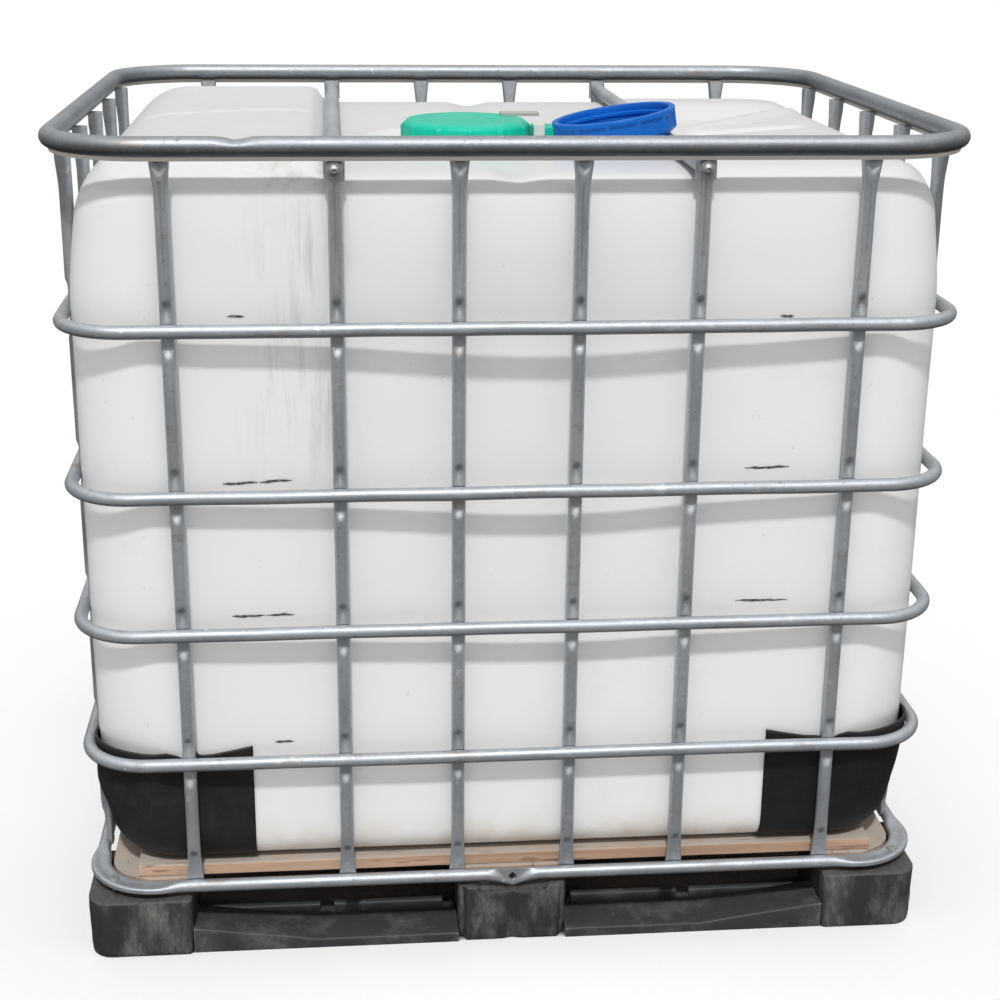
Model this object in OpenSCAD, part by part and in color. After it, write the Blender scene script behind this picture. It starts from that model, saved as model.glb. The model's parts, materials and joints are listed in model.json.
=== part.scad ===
// Intermediate bulk container: a blow-moulded bottle in a welded tube cage on a pallet.
// Front face towards -Y, discharge valve on the +X side, floor at z = 0. Millimetres.

/* [Overall] */
// Width over the top rail, left to right
outer_w = 1200; // [980:1:1460]
// Depth over the top rail, front to back
outer_d = 1000; // [820:1:1220]
// Height of the top rail above the floor
outer_h = 1129; // [940:1:1400]

/* [Cage] */
// Diameter of the top rail tube
top_tube = 25; // [21:1:30]
// Outside corner radius of the top rail
top_corner = 140; // [110:1:142]
// Drop of the pinched lip below the top rail tube
lip_drop = 5; // [3:0.5:9]
// Thickness of the pinched lip
lip_t = 3; // [2:0.5:5]
// Diameter of the hoop tubes
hoop_tube = 18; // [15:0.5:22]
// Distance of the hoops inside the top rail, each side
hoop_inset = 7; // [4:0.5:12]
// Outside corner radius of the hoops
hoop_corner = 96; // [70:1:115]
// Height of the lowest hoop
hoop_low = 289; // [285:1:300]
// Places of the other hoops, as shares of the height above the lowest
hoop_share = [0.225, 0.4524, 0.7131]; // [0.2:0.0001:0.75]
// Diameter of the upright tubes
upright_tube = 18; // [15:0.5:22]
// Depth by which a hoop is nested into an upright
nest = 8; // [5:0.5:10]
// Distance of the outermost front uprights from the outer side
front_edge = 158; // [130:1:200]
// Places of the inner front uprights, either side of the middle
front_inner = [77, 231]; // [60:1:300]
// Distance of the outermost side uprights from the outer front
side_edge = 155; // [140:1:190]
// Places of the inner side uprights, either side of the middle
side_inner = 172; // [150:1:200]
// Width of the flattened upright ends
end_w = 27; // [22:0.5:32]
// Thickness of the flattened upright ends
end_t = 7; // [5:0.5:8]
// Length over which an upright end is pressed flat
end_taper = 36; // [25:1:45]
// Length of the pressed pocket at each crossing
pocket_len = 78; // [50:1:100]
// Radius of the pressed pocket
pocket_r = 7; // [5:0.25:8]
// Gap left at a welded seat
weld_gap = 0.2; // [0.1:0.05:0.5]

/* [Base ring] */
// Distance of the base ring inside the top rail, each side
base_inset = 10; // [6:0.5:16]
// Diameter of the base ring tube
base_tube = 22; // [18:0.5:26]
// Outside corner radius of the base ring
base_corner = 90; // [70:1:120]
// Width of the flattened corners of the base ring
corner_w = 32; // [26:0.5:40]
// Thickness of the flattened corners
corner_t = 10; // [7:0.5:12]
// Half width of the pressed tab at the front middle
tab_half = 22; // [20:1:40]
// Drop of the tab's point below the base ring's middle
tab_drop = 19; // [14:0.5:24]
// Side of the square hole in the tab
tab_hole = 8; // [5:0.5:10]
// Diameter of the corner screws
corner_screw = 7; // [5:0.5:9]

/* [Pallet] */
// Height of the feet
foot_h = 86; // [70:1:105]
// Width of the corner feet
foot_w = 143; // [120:1:180]
// Width of the middle feet
foot_mid_w = 152; // [120:1:190]
// Depth of the feet
foot_d = 145; // [110:1:180]
// How far the corner feet stand out past the base rail
foot_over = 6; // [0:0.5:8]
// Outside corner radius of the corner feet
foot_corner = 32; // [20:1:90]
// Wall of the hollow feet
foot_wall = 8; // [5:0.5:12]
// Depth of the runners
runner_d = 97; // [80:1:110]
// Height of a runner's tread
runner_h = 14; // [10:0.5:20]
// Height of a runner at the corner feet
runner_rise = 38; // [28:1:50]
// Length of the rise beside a corner foot
rise_len = 175; // [120:1:200]
// Thickness of the stringer boards
stringer_t = 17; // [14:0.5:24]
// Thickness of the deck boards
board_t = 18; // [14:0.5:24]
// Gap between the deck boards
board_gap = 40; // [20:1:60]
// Distance of the deck's ends inside the top rail
deck_inset = 78; // [70:1:90]
// Distance of the deck's front edge inside the top rail
deck_setback = 45; // [42:1:60]

/* [Bottle] */
// Gap between the cage uprights and the bottle
bottle_gap = 5; // [4:0.5:8]
// Wall of the bottle
wall = 3; // [2.5:0.25:5]
// Upright corner radius of the bottle
bottle_corner = 100; // [98:1:125]
// Shoulder radius at the top of the bottle
shoulder_r = 94; // [70:1:98]
// Radius at the foot of the bottle
heel_r = 45; // [30:1:60]
// Height of the left shoulder block below the top rail's top
block_drop = 23; // [20:1:40]
// Step from the left block down to the middle of the top
mid_drop = 30; // [20:1:40]
// Step from the left block down to the right block
right_drop = 22; // [12:1:28]
// Half width of the middle of the top
mid_half = 245; // [230:1:280]
// Rounding of the block edges
block_r = 14; // [6:1:16]
// Half width of the drain groove
groove_half = 26; // [15:1:40]
// Depth of the drain groove
groove_deep = 12; // [6:1:20]

/* [Fill opening] */
// Place of the fill neck, left to right
fill_x = -42; // [-60:1:0]
// Place of the fill neck, front to back
fill_y = -100; // [-140:1:60]
// Bore of the fill neck
fill_bore = 158; // [150:1:162]
// Wall of the fill neck
neck_wall = 5; // [4:0.5:7]
// Depth of the dish round the fill neck
dish_deep = 10; // [6:0.5:14]
// Radius of the dish floor
dish_r = 140; // [125:1:148]
// Height of the screw caps
cap_h = 36; // [30:1:44]
// Thickness of a cap's end plate
cap_plate = 5; // [3:0.5:7]
// Wall of a cap's skirt
cap_wall = 5.7; // [4:0.1:8]
// Reach of the grip ribs beyond the skirt
rib_out = 3; // [2:0.25:5]
// Number of grip ribs
rib_count = 12; // [8:1:18]
// Running gap between cap and neck
cap_gap = 0.3; // [0.2:0.05:0.6]
// Thickness of the gaskets
gasket_t = 2.6; // [2:0.1:4]
// Diameter of the loose cap over its ribs
spare_d = 171; // [160:1:180]
// Place of the loose cap's low edge
spare_low_x = 87; // [70:1:110]
// Place of the loose cap, front to back
spare_y = -200; // [-260:1:-190]

/* [Cross bars] */
// Diameter of the cross bars
bar_tube = 22; // [18:0.5:24]
// Wall of the cross bars
bar_wall = 2; // [1.5:0.25:2.5]
// Gap between a cross bar and the bottle
bar_gap = 1; // [0.5:0.25:3]
// Diameter of the cross bar bolts
bolt_d = 8; // [6:0.5:8]
// Diameter of the washers
washer_d = 21; // [17:0.5:23]

/* [Corner guards] */
// Top of the corner guards
guard_top = 297; // [250:1:320]
// Thickness of the corner guards
guard_t = 3; // [2:0.25:3.5]
// Length of a guard along the front
guard_front = 203; // [170:1:280]
// Length of a guard along the side
guard_side = 250; // [200:1:280]

/* [Valve] */
// Height of the outlet axis
valve_z = 205; // [195:1:210]
// Depth of the bottle's recess at the outlet
recess_deep = 118; // [112:1:125]
// Half width of the recess
recess_half = 130; // [118:1:150]
// Top of the recess
recess_top = 330; // [310:1:380]
// Bore of the outlet and valve
outlet_bore = 50; // [40:0.5:54]
// Outside diameter of the outlet neck
outlet_neck = 76; // [72:0.5:80]
// Diameter of the valve stem
stem_d = 12; // [9:0.5:14]
// Running gap of the stem
stem_gap = 0.06; // [0.02:0.01:0.1]
// Length of the valve lever from the stem
lever_len = 100; // [80:1:105]

/* [Hidden] */
$fn = 64;

steel = "Silver";
black = [0.12, 0.12, 0.12];
timber = [0.72, 0.54, 0.42];
white = [0.94, 0.94, 0.92];
rubber = [0.2, 0.2, 0.22];
green = [0.05, 0.62, 0.4];
blue = [0.1, 0.28, 0.75];

hoop_w = outer_w - 2 * hoop_inset;
hoop_d = outer_d - 2 * hoop_inset;
hoop_r = hoop_tube / 2;
hoop_z = [hoop_low, for (s = hoop_share) hoop_low + s * (outer_h - hoop_low)];
base_w = outer_w - 2 * base_inset;
base_d = outer_d - 2 * base_inset;
base_r = base_tube / 2;
base_z = foot_h + base_r + weld_gap;
upright_r = upright_tube / 2;

// Distance of the upright axes inside the hoop axes, and their planes
nest_step = hoop_r + upright_r - nest;
upright_x = hoop_w / 2 - hoop_r - nest_step;
upright_y = hoop_d / 2 - hoop_r - nest_step;

// Top rail and its lip, measured inwards from the rail's outer side
top_r = top_tube / 2;
top_z = outer_h - top_r;
lip_out = top_r - lip_t / 2;
lip_in = top_r + lip_t / 2;
lip_z = top_z - top_r - lip_drop;

// Flattened upright ends, measured outwards from the upright's axis
end_front = outer_d / 2 - lip_in - upright_y - weld_gap;
end_back = end_front - end_t;
end_top = top_z - top_r - weld_gap;
end_flat = 33;
end_low = lip_z - end_flat - end_taper;
base_off = base_d / 2 - base_r - upright_y;

// Deck and bottle levels
stringer_z = foot_h + 0.1;
board_z = stringer_z + stringer_t + 0.1;
deck_z = board_z + board_t;
bottle_w = 2 * (upright_x - upright_r - bottle_gap);
bottle_d = 2 * (upright_y - upright_r - bottle_gap);
bottle_z = deck_z + 0.3;
block_z = outer_h - block_drop;
mid_z = block_z - mid_drop;
right_z = block_z - right_drop;

// Cross bars lie in the middle of the top and end behind the uprights
bar_x = front_inner[1];
bar_z = mid_z + bar_gap + bar_tube / 2;
bar_plate_t = 5;
bar_plate_w = 26;
bar_plate_h = 30;
bar_face = upright_y + end_back - weld_gap;
bar_end = bar_face - bar_plate_t;
washer_t = 2.2;
washer_y = upright_y + end_front + 0.1;
bolt_hole = bolt_d + 0.6;
nut_t = 6.5;

// Fill neck, cap and dish
neck_r = fill_bore / 2 + neck_wall;
cap_in = neck_r + cap_gap;
skirt_r = cap_in + cap_wall;
cap_r = skirt_r + rib_out;
cap_chamfer = 8;
dish_z = mid_z - dish_deep;
cap_low = dish_z + 3;
cap_top = cap_low + cap_h;
neck_top = cap_top - cap_plate - gasket_t - 2 * cap_gap;
seal_ring_r = fill_bore / 2 - 5;

// Outlet, from the back of the recess outwards along +X
recess_x = bottle_w / 2 - recess_deep;
outlet_end = recess_x + 26;
gasket_x = outlet_end + 0.2;
body_x = gasket_x + gasket_t + 0.2;
flange_t = 6;
flange_r = outlet_neck / 2 - 0.5;
tube_r = outlet_bore / 2 + 7;
stem_x = body_x + 39;
thread_x = stem_x + 34;
thread_r = outlet_bore / 2 + 5;
body_end = stem_x + 61;
barrel_r = outlet_bore / 2 + 13;
boss_r = 16;
boss_top = valve_z + barrel_r + 14;
boss_low = valve_z - barrel_r - 6;
seat_t = 2.8;
seat_half = 7;
disc_r = outlet_bore / 2 - 0.1;
bore_r = outlet_bore / 2 + 0.2;
hub_z = boss_top + 1;
hub_h = 19;
hub_r = 17;
lever_z = hub_z + 2;
lever_t = 11;
ring_r = 1.5;
seal_seat_r = stem_d / 2 + 2 * ring_r + 0.25;
cap2_in = thread_r + 0.4;
cap2_r = cap2_in + 4;
cap2_x = thread_x + 4;
cap2_face = body_end + gasket_t + 0.4;

// Outline of a box with rounded corners, about the middle
module rounded_rect(w, d, r) {
    square([w - 2 * r, d], center = true);
    square([w, d - 2 * r], center = true);
    for (sx = [-1, 1], sy = [-1, 1])
        translate([sx * (w / 2 - r), sy * (d / 2 - r)]) circle(r);
}

// Standing outline with its own foot and shoulder radii
module standing_outline(w, low, high, foot_r, top_r) {
    translate([-w / 2, low + foot_r]) square([w, high - low - foot_r - top_r]);
    translate([foot_r - w / 2, low]) square([w - 2 * foot_r, 2 * foot_r]);
    translate([top_r - w / 2, high - 2 * top_r]) square([w - 2 * top_r, 2 * top_r]);
    for (s = [-1, 1]) {
        translate([s * (w / 2 - foot_r), low + foot_r]) circle(foot_r);
        translate([s * (w / 2 - top_r), high - top_r]) circle(top_r);
    }
}

// Extrusions of a standing outline, from front to back and from side to side
module along_y(length) { rotate([90, 0, 0]) linear_extrude(height = length, center = true) children(); }
module along_x(length) { rotate([90, 0, 90]) linear_extrude(height = length, center = true) children(); }

module rod_x(r, x0, x1) { translate([x0, 0, 0]) rotate([0, 90, 0]) cylinder(r = r, h = x1 - x0); }
module ring_x(r_in, r_out, x0, x1) {
    difference() {
        rod_x(r_out, x0, x1);
        rod_x(r_in, x0 - 1, x1 + 1);
    }
}

// Closed ring of round tube with bent corners, its axis in the plane z = 0
module tube_ring(w, d, corner, tube) {
    bend = corner - tube / 2;
    for (s = [-1, 1]) {
        translate([0, s * (d - tube) / 2, 0]) rotate([0, 90, 0])
            cylinder(d = tube, h = w - 2 * corner, center = true);
        translate([s * (w - tube) / 2, 0, 0]) rotate([90, 0, 0])
            cylinder(d = tube, h = d - 2 * corner, center = true);
    }
    for (quarter = [0:3]) {
        sx = quarter == 0 || quarter == 3 ? 1 : -1;
        sy = quarter < 2 ? 1 : -1;
        translate([sx * (w / 2 - corner), sy * (d / 2 - corner), 0]) rotate([0, 0, quarter * 90])
            rotate_extrude(angle = 90) translate([bend, 0]) circle(d = tube);
    }
}

// Tube end pressed flat: round at z = 0, a plate between near and far from z = taper on
module flat_end(tube, plate_w, near, far, taper, length) {
    core = 0.68 * tube;
    half = tube / 2 + 0.01;
    intersection() {
        cylinder(d = tube, h = length);
        along_x(2 * plate_w) polygon([[-half, 0], [half, 0], [far, taper], [far, length],
            [near, length], [near, taper]]);
    }
    intersection() {
        along_y(4 * tube) polygon([[-core / 2, 0], [core / 2, 0], [plate_w / 2, taper],
            [plate_w / 2, length], [-plate_w / 2, length], [-plate_w / 2, taper]]);
        along_x(2 * plate_w) polygon([[-core / 2, 0], [core / 2, 0], [far, taper], [far, length],
            [near, length], [near, taper]]);
    }
}

// Rounded pocket pressed into the outer side of an upright
module pocket(length) {
    translate([0, -upright_r - 1.5, 0]) rotate_extrude() intersection() {
        union() {
            square([2 * pocket_r, length - 2 * pocket_r], center = true);
            for (s = [-1, 1]) translate([0, s * (length / 2 - pocket_r)]) circle(pocket_r);
        }
        translate([0, -length]) square([2 * pocket_r, 2 * length]);
    }
}

// One upright, its outer side towards -Y, nested under every hoop it crosses
module upright(to_base = true, bolted = false) {
    low = to_base ? base_z + base_r + end_taper : hoop_z[0] - hoop_r + 2;
    difference() {
        union() {
            translate([0, 0, low]) cylinder(r = upright_r, h = end_low - low);
            translate([0, 0, end_low])
                flat_end(upright_tube, end_w, -end_front, -end_back, end_taper, end_top - end_low);
            if (to_base) translate([0, 0, low]) mirror([0, 0, 1])
                flat_end(upright_tube, end_w, -1.5, end_t - 1.5, end_taper, low - base_z - 2);
        }
        for (z = hoop_z) translate([0, 0, z]) {
            pocket(pocket_len);
            translate([0, -nest_step, 0]) rotate([0, 90, 0])
                cylinder(r = hoop_r + weld_gap, h = 2 * end_w, center = true);
        }
        if (to_base) {
            translate([0, -base_off, base_z]) rotate([0, 90, 0])
                cylinder(r = base_r + weld_gap, h = 2 * end_w, center = true);
            translate([0, 0, low]) pocket(pocket_len / 2);
        }
        if (bolted) translate([0, 0, bar_z]) rotate([90, 0, 0])
            cylinder(d = bolt_hole, h = 2 * end_w, center = true);
    }
}

front_places = [-outer_w / 2 + front_edge, -front_inner[1], -front_inner[0],
    front_inner[0], front_inner[1], outer_w / 2 - front_edge];
side_places = [-outer_d / 2 + side_edge, -side_inner, 0, side_inner, outer_d / 2 - side_edge];

module upright_row() {
    for (x = front_places) translate([x, -upright_y, 0]) upright(bolted = abs(x) == bar_x);
}
module side_row(valve_side) {
    for (y = side_places)
        rotate([0, 0, -90]) translate([y, -upright_x, 0]) upright(to_base = !(valve_side && y == 0));
}
module front_uprights() { color(steel) upright_row(); }
module rear_uprights() { color(steel) mirror([0, 1, 0]) upright_row(); }
module left_uprights() { color(steel) side_row(false); }
module right_uprights() { color(steel) mirror([1, 0, 0]) side_row(true); }

module hoop(level) {
    color(steel) translate([0, 0, hoop_z[level]]) tube_ring(hoop_w, hoop_d, hoop_corner, hoop_tube);
}

module top_rail() {
    color(steel) {
        translate([0, 0, top_z]) tube_ring(outer_w, outer_d, top_corner, top_tube);
        translate([0, 0, lip_z]) linear_extrude(height = lip_drop + top_r / 2) difference() {
            rounded_rect(outer_w - 2 * lip_out, outer_d - 2 * lip_out, top_corner - lip_out);
            rounded_rect(outer_w - 2 * lip_in, outer_d - 2 * lip_in, top_corner - lip_in);
        }
    }
}

// Base ring: round tube, pressed flat at the corners and into a holed tab at the front middle
base_bend = base_corner - base_r;
corner_places = [for (sx = [-1, 1], sy = [-1, 1]) [sx, sy]];
corner_in = base_corner - base_bend * sqrt(0.5);

module base_corner_piece() {
    rotate_extrude(angle = 90) translate([base_bend, 0])
        square([corner_w, corner_t], center = true);
    for (turn = [0, 1]) mirror([turn, -turn, 0]) translate([base_bend, 0, 0]) rotate([90, 0, 0])
        translate([0, 0, end_taper]) mirror([0, 0, 1])
            flat_end(base_tube, corner_w, -corner_t / 2, corner_t / 2, end_taper - 4, end_taper);
}
module base_tab() {
    thick = end_t + 2;
    for (s = [-1, 1]) translate([s * (tab_half + end_taper), base_r - base_d / 2, 0])
        rotate([0, -90 * s, 0])
            flat_end(base_tube, base_tube, -base_r, thick - base_r, end_taper - 4, end_taper);
    translate([0, (thick - base_d) / 2, 0]) along_y(thick) difference() {
        polygon([[-tab_half, -base_r], [-tab_half, base_r], [tab_half, base_r], [tab_half, -base_r],
            [tab_half / 3, -tab_drop], [-tab_half / 3, -tab_drop]]);
        translate([0, (base_r - tab_drop) / 2]) rotate(40) square(tab_hole, center = true);
    }
}
module bottom_rail() {
    side_len = base_d - 2 * base_corner - 2 * end_taper;
    front_len = base_w / 2 - base_corner - 2 * end_taper - tab_half;
    rear_len = base_w - 2 * base_corner - 2 * end_taper;
    color(steel) translate([0, 0, base_z]) difference() {
        union() {
            for (s = [-1, 1]) {
                translate([s * (base_w - base_tube) / 2, 0, 0]) rotate([90, 0, 0])
                    cylinder(r = base_r, h = side_len, center = true);
                translate([s * (tab_half + end_taper + front_len / 2), base_r - base_d / 2, 0])
                    rotate([0, 90, 0]) cylinder(r = base_r, h = front_len, center = true);
            }
            translate([0, base_d / 2 - base_r, 0]) rotate([0, 90, 0])
                cylinder(r = base_r, h = rear_len, center = true);
            for (quarter = [0:3]) {
                sx = quarter == 0 || quarter == 3 ? 1 : -1;
                sy = quarter < 2 ? 1 : -1;
                translate([sx * (base_w / 2 - base_corner), sy * (base_d / 2 - base_corner), 0])
                    rotate([0, 0, quarter * 90]) base_corner_piece();
            }
            base_tab();
        }
        at_corners() cylinder(d = corner_screw + 0.6, h = 2 * base_tube, center = true);
    }
}
module at_corners() {
    for (c = corner_places)
        translate([c[0] * (base_w / 2 - corner_in), c[1] * (base_d / 2 - corner_in), 0]) children();
}
module rail_screws() {
    color(steel) translate([0, 0, base_z + corner_t / 2]) at_corners() {
        translate([0, 0, -corner_t - 18]) cylinder(d = corner_screw, h = corner_t + 20);
        difference() {
            translate([0, 0, 0.1]) cylinder(d = 2 * corner_screw, h = 4);
            translate([0, 0, 2]) cube([1.4 * corner_screw, 1.4, 6], center = true);
        }
    }
}

// Hollow moulded foot, open below, quartered by two ribs; side and face point to its outer corner
module foot_outline(w, d, inset, side, face) {
    intersection() {
        square([w - 2 * inset, d - 2 * inset], center = true);
        translate([-side * w, -face * d])
            rounded_rect(3 * w - 2 * inset, 3 * d - 2 * inset, foot_corner - inset);
    }
}
module foot(w, d, side, face) {
    difference() {
        linear_extrude(height = foot_h) foot_outline(w, d, 0, side, face);
        translate([0, 0, -1]) linear_extrude(height = foot_h - foot_wall + 1) difference() {
            foot_outline(w, d, foot_wall, side, face);
            square([w, foot_wall], center = true);
            square([foot_wall, d], center = true);
        }
    }
}
foot_x = base_w / 2 - foot_w / 2;
foot_y = base_d / 2 - foot_d / 2;

module place_foot(side, face) {
    corner = side != 0 && face != 0 ? 1 : 0;
    over = corner * foot_over;
    color(black) difference() {
        translate([side * (foot_x + over / 2), face * (foot_y + over / 2), 0])
            foot((side == 0 ? foot_mid_w : foot_w) + over, foot_d + over, side * corner, face * corner);
        if (corner == 1) translate([0, 0, foot_h]) at_corners()
            cylinder(d = corner_screw + 0.6, h = 50, center = true);
        if (side == 0 && face == -1)
            translate([0, -base_d / 2, base_z])
                cube([2 * tab_half + 2, 2 * end_t + 6, 2 * tab_drop + 2], center = true);
    }
}

// Runner along one row of feet: tread, raised ends at the corner feet, broken rear rib
module runner(face) {
    inner = foot_mid_w / 2 + weld_gap;
    outer = base_w / 2 - foot_w - weld_gap;
    bay = outer - inner;
    tread = 0.68 * runner_d;
    rib = 12;
    gap = 20;
    y0 = face == 0 ? -runner_d / 2 : -base_d / 2;
    color(black) mirror([0, face > 0 ? 1 : 0, 0]) for (s = [-1, 1]) mirror([s < 0 ? 1 : 0, 0, 0]) {
        translate([inner, y0, 0]) cube([bay, runner_d, 5]);
        translate([0, y0 + tread / 2, 0]) along_y(tread) polygon([[inner, 0], [inner, runner_h],
            [outer - rise_len, runner_h], [outer, runner_rise], [outer, 0]]);
        for (half = [0, 1]) translate([inner + 18 + half * (bay / 2 - 8), y0 + runner_d - rib, 0])
            cube([bay / 2 - 18 - gap / 2, rib, runner_h + 4]);
    }
}

module stringer(side) {
    w = side == 0 ? foot_mid_w : foot_w;
    color(timber) difference() {
        translate([0, 0, stringer_z]) linear_extrude(height = stringer_t) intersection() {
            translate([side * foot_x, 0]) square([w, base_d], center = true);
            rounded_rect(base_w - 2 * ring_in, base_d - 2 * ring_in, base_corner - ring_in);
        }
        deck_screw_shapes(0.1);
    }
}
ring_in = base_r + corner_w / 2 + 0.5;
deck_w = outer_w - 2 * deck_inset;
deck_d = outer_d - 2 * deck_setback;
board_count = 5;
board_w = (deck_d - (board_count - 1) * board_gap) / board_count;
board_pitch = board_w + board_gap;
screw_x = (base_w / 2 - foot_w + deck_w / 2) / 2;
screw_half = 20;
screw_len = board_t + 0.7 * stringer_t;
screw_places = [for (x = [-screw_x, 0, screw_x], s = [-1, 1], i = [0:board_count - 1])
    [x + s * screw_half, -deck_d / 2 + board_w / 2 + i * board_pitch]];

// Countersunk deck screws, or the holes for them
module deck_screw_shapes(extra) {
    for (p = screw_places) translate([p[0], p[1], deck_z]) {
        translate([0, 0, -screw_len]) cylinder(r = 2 + extra, h = screw_len - 1);
        translate([0, 0, -2.5]) cylinder(r = 4 + extra, h = 2.5 + 10 * extra);
    }
}
module deck_board(i) {
    color(timber) difference() {
        translate([-deck_w / 2, -deck_d / 2 + i * board_pitch, board_z])
            cube([deck_w, board_w, board_t]);
        deck_screw_shapes(0.1);
    }
}
module deck_screws() { color(steel) deck_screw_shapes(0); }

// Box with bent corners, a rolled heel and a rolled shoulder, grown by g on every side
module bottle_blank(g) {
    w = bottle_w + 2 * g;
    d = bottle_d + 2 * g;
    corner = bottle_corner + g;
    along_y(d - 2 * corner) blank_outline(w, g);
    along_x(w - 2 * corner) blank_outline(d, g);
    for (quarter = [0:3]) {
        sx = quarter == 0 || quarter == 3 ? 1 : -1;
        sy = quarter < 2 ? 1 : -1;
        translate([sx * (w / 2 - corner), sy * (d / 2 - corner), 0]) rotate([0, 0, quarter * 90])
            rotate_extrude(angle = 90) intersection() {
                blank_outline(2 * corner, g);
                square([2 * corner, outer_h]);
            }
    }
}
module blank_outline(w, g) {
    standing_outline(w, bottle_z - g, block_z + g, heel_r + g, shoulder_r + g);
}
// Bottle form with the sunken middle of the top and its drain groove
module bottle_form(g) {
    difference() {
        bottle_blank(g);
        along_y(bottle_d + 100) {
            top_channel(g);
            polygon([[-groove_half, mid_z + g + 1], [-groove_half, mid_z + g], [0, mid_z + g - groove_deep],
                [groove_half, mid_z + g], [groove_half, mid_z + g + 1]]);
        }
    }
}
// What is missing above the middle of the top, between the two shoulder blocks
module top_channel(g) {
    difference() {
        translate([-mid_half - 50, mid_z + g]) square([bottle_w + 100, 100]);
        block_edge(-mid_half + g, block_z + g, -1);
        block_edge(mid_half - g, right_z + g, 1);
    }
}
module block_edge(x, z, side) {
    r = min(block_r, (z - mid_z) / 2 + 2);
    mirror([side < 0 ? 1 : 0, 0]) translate([abs(x), 0]) {
        translate([0, mid_z - 100]) square([bottle_w, z - r - mid_z + 100]);
        translate([r, mid_z - 100]) square([bottle_w, z - mid_z + 100]);
        translate([r, z - r]) circle(r);
    }
}
module neck_dish(g) {
    rim = dish_r + dish_deep + g;
    high = 100;
    translate([fill_x, fill_y, dish_z - g]) rotate_extrude()
        polygon([[0, 0], [dish_r + g, 0], [rim, dish_deep], [rim, high], [0, high]]);
}
module outlet_recess(g) {
    translate([recess_x - g + 200, 0, 0]) along_x(400)
        translate([0, recess_top / 2 + g]) rounded_rect(2 * (recess_half + g), recess_top, 40);
}
module bottle() {
    color(white) difference() {
        union() {
            difference() {
                bottle_form(0);
                outlet_recess(0);
                neck_dish(0);
            }
            translate([fill_x, fill_y, dish_z - wall]) cylinder(r = neck_r, h = neck_top - dish_z + wall);
            translate([0, 0, valve_z]) rod_x(outlet_neck / 2, recess_x - wall, outlet_end);
        }
        difference() {
            bottle_form(-wall);
            outlet_recess(wall);
            neck_dish(wall);
        }
        translate([fill_x, fill_y, dish_z - 3 * wall]) cylinder(d = fill_bore, h = 100);
        translate([0, 0, valve_z]) rod_x(outlet_bore / 2, recess_x - 3 * wall, outlet_end + 1);
    }
}

// Guard shell that follows the bottle round its lower corner
module guard(side, face) {
    slit_x = outer_w / 2 - front_edge;
    color(black) mirror([side < 0 ? 1 : 0, 0, 0]) mirror([0, face < 0 ? 1 : 0, 0]) intersection() {
        difference() {
            bottle_blank(0.3 + guard_t);
            bottle_blank(0.3);
            translate([slit_x, bottle_d / 2, guard_top]) along_y(100)
                polygon([[-11, 1], [11, 1], [4, -14], [-2, -14]]);
        }
        translate([bottle_w / 2 - guard_front, bottle_d / 2 - guard_side, deck_z + 0.2])
            cube([guard_front + 40, guard_side + 40, guard_top - deck_z - 0.2]);
    }
}

// Ribbed screw cap of inner radius r, its outer face at z = 0 and its open rim at z = cap_h
module screw_cap(r) {
    skirt = r + cap_wall;
    ring = r - cap_in + seal_ring_r;
    difference() {
        union() {
            rotate_extrude() polygon([[0, 0], [skirt - cap_chamfer, 0], [skirt, cap_chamfer],
                [skirt, cap_h], [0, cap_h]]);
            for (i = [0:rib_count - 1]) rotate([0, 0, (i + 0.5) * 360 / rib_count])
                translate([skirt - 2, -3.5, cap_chamfer]) cube([rib_out + 1.5, 7, cap_h - cap_chamfer]);
            translate([0, 0, cap_h - 7]) cylinder(r = skirt + rib_out, h = 7);
        }
        translate([0, 0, cap_plate]) cylinder(r = r, h = cap_h);
    }
    translate([0, 0, cap_plate - 1]) difference() {
        cylinder(r = ring, h = 10);
        cylinder(r = ring - 2.5, h = 11);
    }
}
module fill_cap() { color(green) translate([fill_x, fill_y, cap_top]) mirror([0, 0, 1]) screw_cap(cap_in); }
module fill_cap_gasket() {
    color(rubber) translate([fill_x, fill_y, neck_top + cap_gap]) difference() {
        cylinder(r = neck_r - 0.5, h = gasket_t);
        translate([0, 0, -1]) cylinder(r = seal_ring_r + 1, h = gasket_t + 2);
    }
}

// The loose cap leans on the right cross bar, its low edge on the middle of the top
spare_in = spare_d / 2 - rib_out - cap_wall;
spare_face_r = spare_in + cap_wall - cap_chamfer;
low_z = mid_z + 0.4;
lean_run = [bar_x - spare_low_x, bar_z - low_z];
spare_tilt = atan2(lean_run[1], lean_run[0]) + asin((bar_tube / 2 + 0.4) / norm(lean_run));
module spare_cap() {
    color(blue) translate([spare_low_x, spare_y, low_z]) rotate([0, -spare_tilt, 0])
        translate([spare_face_r, 0, 0]) screw_cap(spare_in);
}

// Seal beside the fill cap: clip in the dish, band round it, tag on the cap
clip_size = [44, 34, 30];
clip_x = fill_x + cap_r + 0.9;
band_t = 1;
module seal_clip() {
    color(green) translate([clip_x, fill_y, dish_z + 0.2])
        linear_extrude(height = clip_size[2]) translate([clip_size[0] / 2, 0])
            rounded_rect(clip_size[0], clip_size[1], 5);
}
module seal_band() {
    gap = 0.15;
    color(white) translate([clip_x + 3, fill_y, dish_z + 0.2]) difference() {
        translate([0, -clip_size[1] / 2 - gap - band_t, 0])
            cube([15, clip_size[1] + 2 * gap + 2 * band_t, clip_size[2] + gap + band_t]);
        translate([-1, -clip_size[1] / 2 - gap, -1])
            cube([17, clip_size[1] + 2 * gap, clip_size[2] + gap + 1]);
    }
}
module seal_tag() {
    color("Gray") translate([fill_x + cap_r - 12, fill_y + 43, cap_top + 0.2]) linear_extrude(height = 4)
        rounded_rect(56, 30, 4);
}

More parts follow.
